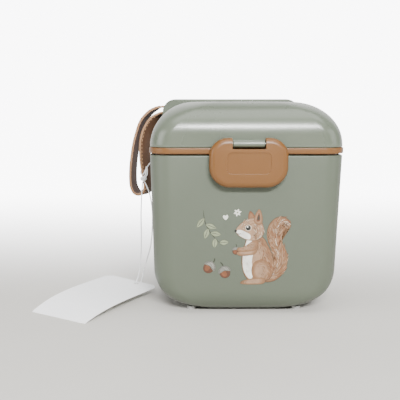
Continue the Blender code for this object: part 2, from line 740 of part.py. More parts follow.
def make_clip(lid):
    """A base under the lid's plate with two fingers that snap round the scoop's handle."""
    inside = SCOOP_HANDLE_WIDTH / 2 + FIT_GAP
    outside = inside + CLIP_FINGER
    base_top = PLATE_BOTTOM - FIT_GAP
    base_low = base_top - CLIP_BASE
    grip = PLATE_BOTTOM - SCOOP_UNDER_PLATE - SCOOP_HANDLE_THICKNESS - FIT_GAP
    tip = grip - CLIP_FINGER
    section = [
        (-outside, base_top),
        (-outside, tip),
        (-inside, tip),
        (-inside, base_low),
        (inside, base_low),
        (inside, tip),
        (outside, tip),
        (outside, base_top),
    ]
    solid("scoop_clip", prism(section, CLIP_X, CLIP_X + CLIP_LENGTH, "x"), TAN_PLASTIC, lid)


# ---------------------------------------------------------------- strap


def smooth_through(points, steps, closed):
    """Points on a smooth curve that passes through every given point."""
    count = len(points)
    spans = count if closed else count - 1
    found = []
    for index in range(spans):
        around = []
        for shift in (-1, 0, 1, 2):
            place = index + shift
            place = place % count if closed else min(max(place, 0), count - 1)
            around.append(points[place])
        before, start, end, after = around
        for step in range(steps):
            t = step / steps
            pull = (end - before) * t + (2 * before - 5 * start + 4 * end - after) * t**2
            found.append(start + 0.5 * (pull + (3 * start - before - 3 * end + after) * t**3))
    if not closed:
        found.append(points[-1])
    return found


def strap_route():
    """The loop's middle line in X and Z: round the pin, out and down, and back up."""
    turn = STRAP_PIN_RADIUS + PIN_GAP + STRAP_THICKNESS / 2
    round_pin = arc((STRAP_PIN_X, STRAP_PIN_Z), turn, -80, 80, 4)
    hanging = (
        (-3.2, 2.0), (-6.0, 1.4), (-10.4, -1.2), (-14.4, -5.0), (-17.4, -9.6), (-20.0, -17.2),
        (-22.0, -25.0), (-23.3, -33.2), (-24.2, -41.0), (-24.5, -48.5), (-24.0, -55.5),
        (-21.8, -60.2), (-18.4, -61.4), (-15.2, -59.2), (-14.2, -54.6), (-15.2, -48.0),
        (-16.6, -40.0), (-17.2, -32.0), (-17.1, -24.0), (-15.6, -16.8), (-12.8, -10.6),
        (-9.0, -5.6), (-5.0, -2.9), (-3.0, -2.1),
    )  # fmt: skip
    points = [Vector((x, 0, z)) for x, z in round_pin]
    for x, z in hanging:
        points.append(Vector((STRAP_PIN_X + x * MM, 0, STRAP_PIN_Z + z * MM)))
    return points


def eased(share):
    """A share kept within 0 and 1, starting and ending gently."""
    share = min(max(share, 0.0), 1.0)
    return share * share * (3 - 2 * share)


def direction(twist):
    """The strap's width direction when it is turned this far from straight back."""
    return Vector((math.sin(twist), math.cos(twist), 0))


def make_strap(strap):
    line = smooth_through(strap_route(), CURVE_STEPS, closed=True)
    count = len(line)
    full_twist_at = 14 * MM
    rings = []
    for index, point in enumerate(line):
        forward = (line[(index + 1) % count] - line[index - 1]).normalized()
        away = STRAP_PIN_X - point.x - STRAP_THICKNESS
        share = eased(away / full_twist_at)
        returning = eased((index / count - 0.5) / 0.2)
        plain = direction(STRAP_TWIST * share)
        across = direction((STRAP_TWIST + (STRAP_RETURN_TWIST - STRAP_TWIST) * returning) * share)
        side = forward.cross(across).normalized()
        middle = point + Vector((0, STRAP_MIDDLE, 0)) + (across - plain) * STRAP_WIDTH / 2
        half_w = across * STRAP_WIDTH / 2
        half_t = side * STRAP_THICKNESS / 2
        corners = (middle - half_w - half_t, middle + half_w - half_t)
        rings.append([*corners, middle + half_w + half_t, middle - half_w + half_t])
    solid("wrist_strap", loft(rings, closed=True), TAN_LEATHER, strap)


# ---------------------------------------------------------------- string and tag

# The loop's points, measured from the knot.
LOOP_ROUTE = (
    (-1.5, 2.2, 2.6), (-2.2, 3.3, 4.2), (-1.2, 5.8, 6.0), (0.2, 9.3, 8.2),
    (1.8, 12.9, 10.4), (3.2, 15.1, 11.7), (4.7, 15.1, 12.2), (5.6, 13.8, 12.0),
    (4.6, 11.4, 10.6), (3.0, 7.8, 8.4), (1.5, 4.3, 6.2), (0.5, 1.9, 4.0),
    (-0.4, 1.6, 2.5),
)  # fmt: skip
# The doubled strand's points: left and front of the knot, and height above the floor.
TAG_STRING_ROUTE = (
    (-0.5, 0.1, 76.8), (-1.1, -0.4, 70.9), (-1.5, -2.0, 62.9), (-1.7, -4.2, 52.9),
    (-1.5, -6.6, 42.9), (-1.4, -8.9, 32.9), (-1.7, -11.4, 22.9), (-2.3, -14.0, 14.9),
    (-3.5, -16.4, 9.9), (-4.4, -17.6, 7.5), (-4.6, -17.8, 5.5), (-4.4, -17.3, 4.1),
    (-3.6, -15.8, 3.5), (-2.5, -13.8, 3.7), (-1.7, -12.0, 5.1), (-1.0, -11.0, 7.9),
    (1.8, -8.8, 18.9), (5.1, -4.8, 30.6), (6.1, -1.3, 40.9), (6.3, 0.8, 50.9),
    (5.8, 1.6, 58.9), (4.5, 1.4, 66.9), (2.5, 0.6, 72.9), (0.8, 0.1, 76.7),
)  # fmt: skip


def strand_point(x, y, height):
    """The strand keeps its shape near the floor and near the knot, and its straight part joins them."""
    height *= MM
    knot_rise = KNOT_PLACE.z - FLOOR_LEVEL - KNOT_ABOVE_FLOOR
    share = (height - STRING_STRAIGHT_FROM) / (STRING_STRAIGHT_TO - STRING_STRAIGHT_FROM)
    height += knot_rise * min(max(share, 0), 1)
    return Vector((KNOT_PLACE.x + x * MM, KNOT_PLACE.y + y * MM, FLOOR_LEVEL + height))


def make_cord(name, route, holder):
    points = smooth_through(route, CURVE_STEPS, closed=False)
    curve = bpy.data.curves.new(name, "CURVE")
    curve.dimensions = "3D"
    curve.bevel_depth = STRING_RADIUS
    curve.bevel_resolution = 2
    curve.use_fill_caps = True
    spline = curve.splines.new("POLY")
    spline.points.add(len(points) - 1)
    for slot, point in zip(spline.points, points):
        slot.co = (*point, 1)
    curve.materials.append(WHITE_STRING)
    made = bpy.data.objects.new(name, curve)
    bpy.context.scene.collection.objects.link(made)
    made.parent = holder
    made.location = -world_place(holder)


def make_tag(strap):
    """A card that lies on the floor at one end and is held up by the string at its holed end."""
    along = Vector((-math.sin(TAG_TURN), -math.cos(TAG_TURN), 0))
    across = Vector((math.cos(TAG_TURN), -math.sin(TAG_TURN), 0))
    start = Vector((KNOT_PLACE.x - TAG_LEFT_OF_KNOT, KNOT_PLACE.y - TAG_BEFORE_KNOT, FLOOR_LEVEL))
    stations = [0, TAG_CORNER / 2, TAG_CORNER]
    stations += [TAG_CORNER + (TAG_LENGTH - TAG_CORNER) * step / 10 for step in range(1, 11)]
    rings = []
    top = Vector((0, 0, TAG_THICKNESS))
    for distance in stations:
        short = TAG_CORNER - min(distance, TAG_CORNER)
        half = across * (TAG_WIDTH / 2 - short)
        middle = start + along * distance
        left = middle - half + Vector((0, 0, tag_lift(distance, -1)))
        right = middle + half + Vector((0, 0, tag_lift(distance, 1)))
        rings.append([left, right, right + top, left + top])
    tag = solid("swing_tag", loft(rings), CARD, strap)
    hole = start + along * TAG_HOLE_INSET + across * TAG_HOLE_SIDE
    tall = Vector((0, 0, TAG_LIFT + TAG_CORNER))
    cut_from(tag, rod(hole - tall, hole + tall, TAG_HOLE_RADIUS), "hole")


def tag_lift(distance, side):
    """How high the card stands off the floor: most at its holed end, on its left side."""
    return (TAG_LIFT - TAG_TILT * side) * (1 - (distance / TAG_LENGTH) ** TAG_BEND)


def make_string(strap):
    make_cord("string_loop", [KNOT_PLACE + Vector(point) * MM for point in LOOP_ROUTE], strap)
    make_cord("tag_string", [strand_point(*point) for point in TAG_STRING_ROUTE], strap)
    knot = bmesh.new()
    bmesh.ops.create_icosphere(knot, subdivisions=2, radius=KNOT_RADIUS)
    bmesh.ops.scale(knot, vec=(1.0, 0.7, 0.85), verts=knot.verts)
    bmesh.ops.translate(knot, vec=KNOT_PLACE, verts=knot.verts)
    solid("string_knot", knot, WHITE_STRING, strap)


# ---------------------------------------------------------------- assembly

clear_scene()
SAGE_PLASTIC = material("sage_plastic", SAGE, 0.45)
TAN_PLASTIC = material("tan_plastic", TAN, 0.45)
TAN_LEATHER = material("tan_leather", (0.40, 0.23, 0.12), 0.6)
CLEAR_PLASTIC = material("milky_plastic", (0.80, 0.80, 0.76), 0.35)
SILICONE = material("silicone", (0.75, 0.74, 0.70), 0.6)
RUBBER = material("foot_rubber", (0.45, 0.45, 0.43), 0.7)
STEEL = material("pin_steel", (0.62, 0.62, 0.62), 0.3, 1.0)
WHITE_STRING = material("white_string", (0.85, 0.85, 0.85), 0.9)
CARD = material("tag_card", (0.80, 0.81, 0.84), 0.8)

lid_pivot = pivot("lid_pivot", (0, HINGE_Y, HINGE_Z))
latch_pivot = pivot("latch_pivot", (0, LATCH_PIN_Y, LATCH_PIN_Z), lid_pivot)
strap_pivot = pivot("strap_pivot", (STRAP_PIN_X, STRAP_MIDDLE, STRAP_PIN_Z), lid_pivot)
scoop_rest = pivot("scoop_rest", (SCOOP_X, 0, PLATE_BOTTOM - SCOOP_UNDER_PLATE), lid_pivot)

make_body()
make_feet()
make_leveller()
make_lid(lid_pivot)
make_lid_ring(lid_pivot)
make_screws(lid_pivot)
make_block(lid_pivot)
make_pins(lid_pivot)
make_clip(lid_pivot)
make_latch(latch_pivot)
make_scoop(scoop_rest)
make_strap(strap_pivot)
make_string(strap_pivot)
make_tag(strap_pivot)
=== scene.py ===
"""A formula dispenser: sage box and domed lid with a tan ring, latch and strap, a woodland print on
the front, and a white card tied to the strap by a string.
"""

import json
import math
import random

import bmesh
import bpy
from mathutils import Matrix, Vector


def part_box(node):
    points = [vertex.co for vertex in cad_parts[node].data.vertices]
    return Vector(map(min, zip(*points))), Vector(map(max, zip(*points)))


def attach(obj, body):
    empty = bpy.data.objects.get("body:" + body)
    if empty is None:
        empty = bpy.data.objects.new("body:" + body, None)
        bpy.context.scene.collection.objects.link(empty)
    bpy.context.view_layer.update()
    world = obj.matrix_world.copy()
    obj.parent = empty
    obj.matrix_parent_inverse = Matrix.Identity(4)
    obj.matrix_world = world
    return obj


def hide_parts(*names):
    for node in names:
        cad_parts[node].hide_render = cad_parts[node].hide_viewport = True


MM = 0.001

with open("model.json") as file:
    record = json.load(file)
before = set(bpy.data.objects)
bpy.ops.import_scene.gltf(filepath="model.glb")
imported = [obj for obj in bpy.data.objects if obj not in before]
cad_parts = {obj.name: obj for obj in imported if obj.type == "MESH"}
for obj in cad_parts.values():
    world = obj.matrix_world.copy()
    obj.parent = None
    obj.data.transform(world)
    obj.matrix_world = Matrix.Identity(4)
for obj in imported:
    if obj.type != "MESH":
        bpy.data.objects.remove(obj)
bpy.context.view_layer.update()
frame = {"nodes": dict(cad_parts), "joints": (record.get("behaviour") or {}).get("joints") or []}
hinges = {joint["name"]: Vector(joint["pos_m"]) for joint in frame["joints"] if "pos_m" in joint}


def placed(name, data):
    """A new object of this mesh, curve, light or camera, at the origin of the scene."""
    made = bpy.data.objects.new(name, data)
    bpy.context.scene.collection.objects.link(made)
    return made


# ---------------------------------------------------------------- sizes

BODY_HALF = Vector((60, 44)) * MM
LIP_Z = 99.7 * MM
DRAFT = math.tan(math.radians(1.6))
WALL = 2.2 * MM
FLOOR = 2.8 * MM
PLAN_CORNER = 13 * MM
CORNER_GROWTH = 0.35
BODY_FILLETS = Vector((26, 14)) * MM
LID_FILLETS = Vector((27.8, 20)) * MM
LIP_ROUND = 0.9 * MM
BAND_LOW = 100.7 * MM
BAND_HIGH = 104.3 * MM
BAND_PROUD = 0.5 * MM
PLUG_OUT = 3.5 * MM
LATCH_HALF = 23.1 * MM
LATCH_BACK = -46 * MM
LATCH_THICK = 5.8 * MM
LATCH_CORNERS = (10.5 * MM, 12 * MM)
NOTCH_HALF = 10 * MM
NOTCH_DROP = 3.1 * MM
NOTCH_TOP = 120 * MM
PANEL_HALF = Vector((13.25, 6.4)) * MM
STRAP_HALF = 6 * MM
STRAP_THICK = 1.3 * MM
STRAP_PIN_TURN = 1.85 * MM
STRAP_CORNER = 0.3 * MM
RETURN_FROM = 0.5
RETURN_OVER = 0.2
STRAP_SWELL = 0.45
STRAP_EASE = 9 * MM
STRAP_TWIST = math.radians(17)
STRAP_RETURN_TWIST = math.radians(36)
STRING_RADIUS = 0.45 * MM
PRINT_LIFT = 0.03 * MM
LAYER_LIFT = 0.004 * MM
BORE = 1.2 * MM
CATCH_HALF = 9 * MM
CATCH_DROP = 21.4 * MM
CATCH_TIP = 1.3 * MM
CATCH_ROOT = 2.6 * MM
CATCH_EDGE = 0.2 * MM
BARREL_EDGE = 0.25 * MM
LATCH_EDGE = 0.45 * MM
BARREL_RADIUS = 2.9 * MM
BARREL_ENDS = (24 * MM, 36 * MM)
BARREL_BORE = 1.5 * MM
BARREL_SHOULDER = 1.2 * MM
BARREL_WEB = 9 * MM
KNUCKLE_RADIUS = 2.1 * MM
KNUCKLE_ROOT = -43.2 * MM
LID_CHAMFER = Vector((0.25, 0.4)) * MM
RING_LOW = 94.5 * MM
RING_IN = 5.9 * MM
RING_SEAT = 4.1 * MM
RING_TOP_IN = 2.5 * MM
RING_TOP = BAND_HIGH + 2 * MM
PLATE_LOW = 101 * MM
PLATE_HIGH = 102.8 * MM
LATCH_BACK_ROUND = ((0.14, 0.0), (0.03, 0.05), (0.0, 0.12), (0.0, 0.42))
LATCH_FRONT_ROUND = 0.62
LATCH_HIGH = 3.6 * MM
LATCH_LOW = 26.3 * MM
LATCH_BULGE = 0.7 * MM
LATCH_BORE_HALF = 16.3 * MM
POCKET_HALF = 17.6 * MM
POCKET_LOW = 85.1 * MM
POCKET_DEPTH = 2.4 * MM
POCKET_DROP = 4.4 * MM
PANEL_CORNER = 3 * MM
PANEL_DROP = 2 * MM
PANEL_DEPTH = 0.35 * MM
STITCH_HALF = 0.95 * MM
STITCH_THICK = 0.22 * MM
STITCH_PITCH = 2.7 * MM
STITCH_INSET = 1.2 * MM
STAND_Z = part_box("foot_front_left")[0][2]
PIN = hinges["strap_swing"]
LATCH_PIN = hinges["latch_hinge"]
HINGE = hinges["lid_hinge"]
STEPS = 14

# ---------------------------------------------------------------- camera

camera = placed("camera", bpy.data.cameras.new("camera"))
camera.location = (-0.0413, -0.4383, 0.1271)
camera.rotation_euler = (math.radians(82.12), 0, 0)
camera.data.lens = 58.5
camera.data.sensor_width = 36
camera.data.shift_x = 0.05
camera.data.clip_start = 0.01
bpy.context.scene.camera = camera

# ---------------------------------------------------------------- shader groups


def group_sockets(tree, inputs, outputs):
    for name, value in inputs.items():
        socket = tree.interface.new_socket(name, in_out="INPUT", socket_type="NodeSocketFloat")
        socket.default_value = value
    for name in outputs:
        tree.interface.new_socket(name, in_out="OUTPUT", socket_type="NodeSocketFloat")


def node(tree, kind, links=(), **settings):
    """A shader node with its settings, constant socket values and incoming links."""
    made = tree.nodes.new(kind)
    for name, value in settings.items():
        setattr(made, name, value)
    for socket, value in dict(links).items():
        if hasattr(value, "is_output"):
            tree.links.new(value, made.inputs[socket])
        else:
            made.inputs[socket].default_value = value
    return made


def maths(tree, operation, first, second):
    return node(tree, "ShaderNodeMath", {0: first, 1: second}, operation=operation).outputs[0]


def surface_group():
    """Fine grain for bump, slow mottling for colour, wear on sharp edges and dust on upward faces."""
    tree = bpy.data.node_groups.new("surface detail", "ShaderNodeTree")
    group_sockets(tree, {"Grain Scale": 1800, "Mottle Scale": 30}, ("Grain", "Mottle", "Wear", "Dust"))
    given = tree.nodes.new("NodeGroupInput")
    place = tree.nodes.new("ShaderNodeTexCoord").outputs["Object"]
    grain_scale = given.outputs["Grain Scale"]
    mottle_scale = given.outputs["Mottle Scale"]
    fine = node(tree, "ShaderNodeTexNoise", {"Vector": place, "Scale": grain_scale, "Detail": 3})
    pits = node(tree, "ShaderNodeTexVoronoi", {"Vector": place, "Scale": grain_scale})
    slow = node(tree, "ShaderNodeTexNoise", {"Vector": place, "Scale": mottle_scale, "Detail": 5})
    shape = tree.nodes.new("ShaderNodeNewGeometry")
    edge = node(tree, "ShaderNodeMapRange", {0: shape.outputs["Pointiness"], 1: 0.51, 2: 0.62})
    facing = node(tree, "ShaderNodeSeparateXYZ", {0: shape.outputs["Normal"]})
    specks = node(tree, "ShaderNodeTexNoise", {"Vector": place, "Scale": 900.0, "Detail": 2})
    settled = node(tree, "ShaderNodeMapRange", {0: specks.outputs["Fac"], 1: 0.62, 2: 0.75})
    upward = node(tree, "ShaderNodeMapRange", {0: facing.outputs["Z"], 1: 0.4, 2: 1.0})
    given_back = tree.nodes.new("NodeGroupOutput")
    results = (
        maths(tree, "ADD", fine.outputs["Fac"], pits.outputs["Distance"]),
        slow.outputs["Fac"],
        maths(tree, "MULTIPLY", edge.outputs[0], slow.outputs["Fac"]),
        maths(tree, "MULTIPLY", settled.outputs[0], upward.outputs[0]),
    )
    for slot, value in zip(given_back.inputs, results):
        tree.links.new(value, slot)
    return tree


DETAIL = surface_group()
DUST_COLOUR = (0.7, 0.69, 0.66, 1)
DUST_SHARE = 0.06
WEAR_SHARE = 0.6
WEAR_GAIN = 1.35
WEAR_LIFT = 0.02
UNEVEN_ROUGHNESS = 0.16


def finish(name, colour, roughness, grain=1800, mottle=30, bump=0.05, contrast=0.05, **more):
    """A material whose colour, roughness and bump carry the shared surface detail."""
    made = bpy.data.materials.new(name)
    made.use_nodes = True
    tree = made.node_tree
    shader = tree.nodes["Principled BSDF"]
    detail = node(tree, "ShaderNodeGroup", node_tree=DETAIL)
    detail.inputs["Grain Scale"].default_value = grain
    detail.inputs["Mottle Scale"].default_value = mottle
    mixed = node(tree, "ShaderNodeMix", data_type="RGBA")
    mixed.inputs[6].default_value = (*[channel * (1 - contrast) for channel in colour], 1)
    mixed.inputs[7].default_value = (*[min(channel * (1 + contrast), 1) for channel in colour], 1)
    tree.links.new(detail.outputs["Mottle"], mixed.inputs[0])
    worn = node(tree, "ShaderNodeMix", data_type="RGBA")
    brighter = [min(channel * WEAR_GAIN + WEAR_LIFT, 1) for channel in colour]
    worn.inputs[7].default_value = (*brighter, 1)
    tree.links.new(mixed.outputs[2], worn.inputs[6])
    tree.links.new(maths(tree, "MULTIPLY", detail.outputs["Wear"], WEAR_SHARE), worn.inputs[0])
    dusty = node(tree, "ShaderNodeMix", data_type="RGBA")
    dusty.inputs[7].default_value = DUST_COLOUR
    tree.links.new(worn.outputs[2], dusty.inputs[6])
    tree.links.new(maths(tree, "MULTIPLY", detail.outputs["Dust"], DUST_SHARE), dusty.inputs[0])
    tree.links.new(dusty.outputs[2], shader.inputs["Base Color"])
    uneven = maths(tree, "MULTIPLY", detail.outputs["Mottle"], UNEVEN_ROUGHNESS)
    lowest = roughness - UNEVEN_ROUGHNESS / 2
    tree.links.new(maths(tree, "ADD", uneven, lowest), shader.inputs["Roughness"])
    relief = node(tree, "ShaderNodeBump", {"Strength": bump, "Distance": 0.0003})
    tree.links.new(detail.outputs["Grain"], relief.inputs["Height"])
    tree.links.new(relief.outputs[0], shader.inputs["Normal"])
    for socket, value in more.items():
        shader.inputs[socket.replace("_", " ")].default_value = value
    return made


def ink():
    """Printed colour held at the points of each patch, uneven as a watery wash is."""
    made = bpy.data.materials.new("printed ink")
    made.use_nodes = True
    tree = made.node_tree
    shader = tree.nodes["Principled BSDF"]
    colour = node(tree, "ShaderNodeAttribute", attribute_name="ink").outputs["Color"]
    place = tree.nodes.new("ShaderNodeTexCoord").outputs["Object"]
    wash = node(tree, "ShaderNodeTexNoise", {"Vector": place, "Scale": 260.0, "Detail": 6})
    fibre = node(tree, "ShaderNodeTexNoise", {"Vector": place, "Scale": 1500.0, "Detail": 2})
    light = node(tree, "ShaderNodeMapRange", {0: wash.outputs["Fac"], 1: 0.3, 2: 0.7, 3: 0.84, 4: 1.14})
    tint = node(tree, "ShaderNodeVectorMath", {0: colour, 3: light.outputs[0]}, operation="SCALE")
    tree.links.new(tint.outputs[0], shader.inputs["Base Color"])
    relief = node(
        tree, "ShaderNodeBump", {"Strength": 0.03, "Distance": 0.0002, "Height": fibre.outputs["Fac"]}
    )
    tree.links.new(relief.outputs[0], shader.inputs["Normal"])
    shader.inputs["Roughness"].default_value = 0.5
    return made


SAGE = (0.087, 0.103, 0.073)
# The lid's sage is lighter than the box's: painted light, as its dome faces up into the light.
SAGE_GLOSSY_LIT = (0.108, 0.126, 0.093)
TAN = (0.148, 0.060, 0.012)
SAGE_BODY = finish("sage body", SAGE, 0.42, bump=0.06, contrast=0.03)
SAGE_LID = finish(
    "sage lid", SAGE_GLOSSY_LIT, 0.28, bump=0.06, contrast=0.03, Coat_Weight=0.3, Coat_Roughness=0.2
)
TAN_PLASTIC = finish("tan plastic", TAN, 0.38, grain=2200, bump=0.06, contrast=0.06)
# The strap's faces are darker than its cut edges. The outer face carries painted shade, and the lining has
# its own darker backing together with painted shade.
LEATHER_PAINTED_SHADE = finish("strap leather", (0.10, 0.048, 0.024), 0.6, grain=1100, mottle=60, bump=0.35, contrast=0.16)
CUT_EDGE = finish("strap edge", (0.29, 0.155, 0.075), 0.6, grain=2000, mottle=90, bump=0.25, contrast=0.14)
LINING_AND_PAINTED_SHADE = finish("strap lining", (0.08, 0.048, 0.038), 0.8, grain=2600, mottle=90, bump=0.3, contrast=0.2)
THREAD = finish("strap thread", (0.46, 0.29, 0.17), 0.8, grain=4000, mottle=400, bump=0.3, contrast=0.2)
MILKY = finish(
    "milky plastic", (0.80, 0.80, 0.76), 0.35, bump=0.04, contrast=0.03, Transmission_Weight=0.35
)
SILICONE = finish("silicone", (0.75, 0.74, 0.70), 0.6, bump=0.08, contrast=0.04)
RUBBER = finish("foot rubber", (0.30, 0.30, 0.285), 0.55, bump=0.12, contrast=0.08)
STEEL = finish("pin steel", (0.62, 0.62, 0.62), 0.34, grain=3000, bump=0.08, contrast=0.08, Metallic=1.0)
STRING = finish("white string", (0.86, 0.86, 0.87), 0.85, grain=5000, mottle=500, bump=0.3, contrast=0.06)
CARD = finish("tag card", (0.97, 0.98, 1.0), 0.6, grain=900, mottle=160, bump=0.06, contrast=0.03)
INK = ink()

# ---------------------------------------------------------------- making pieces


def arc(centre, radius, start, end, steps):
    points = []
    for step in range(steps + 1):
        angle = math.radians(start + (end - start) * step / steps)
        points.append((centre[0] + radius * math.cos(angle), centre[1] + radius * math.sin(angle)))
    return points


def rounded(half_x, half_y, corner, steps=STEPS):
    points = []
    for sign_x, sign_y, start in ((1, 1, 0), (-1, 1, 90), (-1, -1, 180), (1, -1, 270)):
        centre = (sign_x * (half_x - corner), sign_y * (half_y - corner))
        points += arc(centre, corner, start, start + 90, steps)
    return points


def ring(half, corner, z):
    return [Vector((x, y, z)) for x, y in rounded(half[0], half[1], corner)]


def loft(rings, closed=False, into=None):
    """Joins rings of equal length one after another, with end caps unless it closes on itself."""
    made = into or bmesh.new()
    rows = [[made.verts.new(point) for point in points] for points in rings]
    pairs = list(zip(rows, rows[1:]))
    if closed:
        pairs.append((rows[-1], rows[0]))
    count = len(rows[0])
    for row, following in pairs:
        for index in range(count):
            after = (index + 1) % count
            made.faces.new((row[index], row[after], following[after], following[index]))
    if not closed:
        made.faces.new(rows[0])
        made.faces.new(rows[-1])
    return made


def drawn_in(distance, radius):
    """How far a fillet of this radius stands in from the wall at a distance from its flat end."""
    if distance >= radius:
        return 0.0
    return radius - math.sqrt(radius**2 - (radius - distance) ** 2)


def fillet_heights(radius, steps=STEPS):
    return [radius * (1 - math.cos(math.radians(90 * step / steps))) for step in range(steps + 1)]


def rod(start, end, radius, sides=32):
    """A round bar with a small chamfer at each end."""
    start = Vector(start)
    along = Vector(end) - start
    turn = Vector((0, 0, 1)).rotation_difference(along).to_matrix()
    rings = []
    chamfer = along.normalized() * radius * 0.2
    stations = ((start, 0.8), (start + chamfer, 1.0), (start + along - chamfer, 1.0), (start + along, 0.8))
    for place, size in stations:
        circle = arc((0, 0), radius * size, 0, 360, sides)[:-1]
        rings.append([place + turn @ Vector((x, y, 0)) for x, y in circle])
    return loft(rings)


def box(low, high):
    made = bmesh.new()
    bmesh.ops.create_cube(made, size=1)
    bmesh.ops.scale(made, vec=Vector(high) - Vector(low), verts=made.verts)
    bmesh.ops.translate(made, vec=(Vector(high) + Vector(low)) / 2, verts=made.verts)
    return made


def prism(outline, start, end):
    """An outline in x and z carried along y."""
    return loft([[Vector((x, y, z)) for x, z in outline] for y in (start, end)])


def bar(outline, start, end):
    """An outline in y and z carried along x."""
    return loft([[Vector((x, y, z)) for y, z in outline] for x in (start, end)])


def piece(name, shape, material, sharp=35):
    """An object in the scene from a bmesh, smooth except where faces meet more sharply than this."""
    bmesh.ops.recalc_face_normals(shape, faces=shape.faces)
    mesh = bpy.data.meshes.new(name)
    shape.to_mesh(mesh)
    shape.free()
    mesh.materials.append(material)
    mesh.shade_smooth()
    mesh.set_sharp_from_angle(angle=math.radians(sharp))
    return placed(name, mesh)


def work(target, shape, operation):
    """Adds or cuts a shape with an exact Boolean."""
    step = target.modifiers.new(operation, "BOOLEAN")
    step.operation = operation
    step.object = piece(target.name + " tool", shape, STEEL)


def frozen(target, edge=None):
    """Applies the Booleans, rounds the edges, and keeps the result as a plain mesh."""
    if edge:
        soft = target.modifiers.new("edges", "BEVEL")
        soft.width = edge
        soft.segments = 3
        soft.limit_method = "ANGLE"
        soft.angle_limit = math.radians(40)
        soft.harden_normals = True
    tools = [step.object for step in target.modifiers if step.type == "BOOLEAN"]
    graph = bpy.context.evaluated_depsgraph_get()
    mesh = bpy.data.meshes.new_from_object(target.evaluated_get(graph))
    target.modifiers.clear()
    target.data = mesh
    mesh.name = target.name
    for tool in tools:
        bpy.data.objects.remove(tool, do_unlink=True)
    return target


def belongs(made, body, slot, *nodes):
    """Rides a piece on its body, in place of the nodes it stands for. The slot is not used."""
    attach(made, body)
    if nodes:
        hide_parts(*nodes)
    return made


def smooth_through(points, steps, closed=False):
    """Points on a smooth curve that passes through every given point."""
    count = len(points)
    found = []
    for index in range(count if closed else count - 1):
        near = []
        for shift in (-1, 0, 1, 2):
            place = index + shift
            near.append(points[place % count if closed else min(max(place, 0), count - 1)])
        before, start, end, after = near
        for step in range(steps):
            t = step / steps
            pull = (end - before) * t + (2 * before - 5 * start + 4 * end - after) * t**2
            found.append(start + 0.5 * (pull + (3 * start - before - 3 * end + after) * t**3))
    if not closed:
        found.append(points[-1])
    return found


# ---------------------------------------------------------------- string and card

LOOP_ROUTE = (
    (-69.2, 31.0, 80.8), (-69.9, 32.1, 82.4), (-68.9, 34.6, 84.2), (-67.5, 38.1, 86.4),
    (-65.9, 41.7, 88.6), (-64.5, 43.9, 89.9), (-63.0, 43.9, 90.4), (-62.1, 42.6, 90.2),
    (-63.1, 40.2, 88.8), (-64.7, 36.6, 86.6), (-66.2, 33.1, 84.4), (-67.2, 30.7, 82.2),
    (-68.1, 30.4, 80.7),
)  # fmt: skip
TAG_STRING_ROUTE = (
    (-68.2, 28.9, 75.9), (-68.8, 28.4, 70.0), (-69.2, 26.8, 62.0), (-69.4, 24.6, 52.0),
    (-69.2, 22.2, 42.0), (-69.1, 19.9, 32.0), (-69.4, 17.4, 22.0), (-70.0, 14.8, 14.0),
    (-71.2, 12.4, 9.0), (-72.1, 11.2, 6.6), (-72.3, 11.0, 4.6), (-72.1, 11.5, 3.2),
    (-71.3, 13.0, 2.6), (-70.2, 15.0, 2.8), (-69.4, 16.8, 4.2), (-68.7, 17.8, 7.0),
    (-65.9, 20.0, 18.0), (-62.6, 24.0, 29.7), (-61.6, 27.5, 40.0), (-61.4, 29.6, 50.0),
    (-61.9, 30.4, 58.0), (-63.2, 30.2, 66.0), (-65.2, 29.4, 72.0), (-66.9, 28.9, 75.8),
)  # fmt: skip
PLY_VALLEY = 0.7
KNOT = Vector((-67.7, 28.8, 78.2)) * MM
KNOT_HALF = (1.9, 1.1, 0.7)
KNOT_TURNS = ((0.5, 1.0), (-0.7, 0.95), (1.5, 0.85), (2.4, 1.05))
KNOT_ENDS = (
    ((0.6, -0.8, 0.8), (1.6, -1.6, 3.2), (2.0, -1.4, 6.0), (2.3, -1.0, 8.6)),
    ((0.8, -0.6, 0.4), (2.6, -1.2, 2.6), (2.9, -1.2, 5.2), (2.7, -0.8, 7.6)),
)
KNOT_PITCH = 1.5 * MM
KNOT_STRAND = 1.3 * STRING_RADIUS
TAG_END = Vector((-75, 18)) * MM
TAG_TURN = math.radians(32.6)
TAG_LENGTH = 78.3 * MM
TAG_HALF = 22 * MM
TAG_THICK = 0.4 * MM
TAG_CORNER = 4 * MM
TAG_RISE = (6 * MM, 1.2 * MM)
TAG_BEND = 4.4
TAG_HOLE_INSET = 4.4 * MM
TAG_HOLE_SIDE = 6 * MM
TAG_HOLE_RADIUS = 1.8 * MM
TAG_LIFT = 0.05 * MM
TAG_STATIONS = 40


def twisted(path, radius, shape=None, plies=3, pitch=2.4 * MM, sides=15):
    """A cord laid from plies, swept along a path."""
    rings = []
    travelled = 0.0
    across = Vector((0.3, 1, 0.2)).normalized()
    for index, point in enumerate(path):
        ahead = path[min(index + 1, len(path) - 1)]
        behind = path[max(index - 1, 0)]
        along = (ahead - behind).normalized()
        across = (across - along * across.dot(along)).normalized()
        other = along.cross(across)
        travelled += (point - behind).length
        turn = travelled / pitch * math.tau / plies
        points = []
        for side in range(sides):
            angle = math.tau * side / sides
            bulge = abs(math.cos((angle - turn) * plies / 2))
            reach = radius * (PLY_VALLEY + (1 - PLY_VALLEY) * bulge)
            points.append(point + (across * math.cos(angle) + other * math.sin(angle)) * reach)
        rings.append(points)
    return loft(rings, into=shape)


def make_strings():
    routes = {"string_loop": LOOP_ROUTE, "tag_string": TAG_STRING_ROUTE}
    for name, route in routes.items():
        path = smooth_through([Vector(point) * MM for point in route], 14)
        made = piece(name + "_laid", twisted(path, STRING_RADIUS), STRING, 70)
        belongs(made, "strap", "white_string", name)


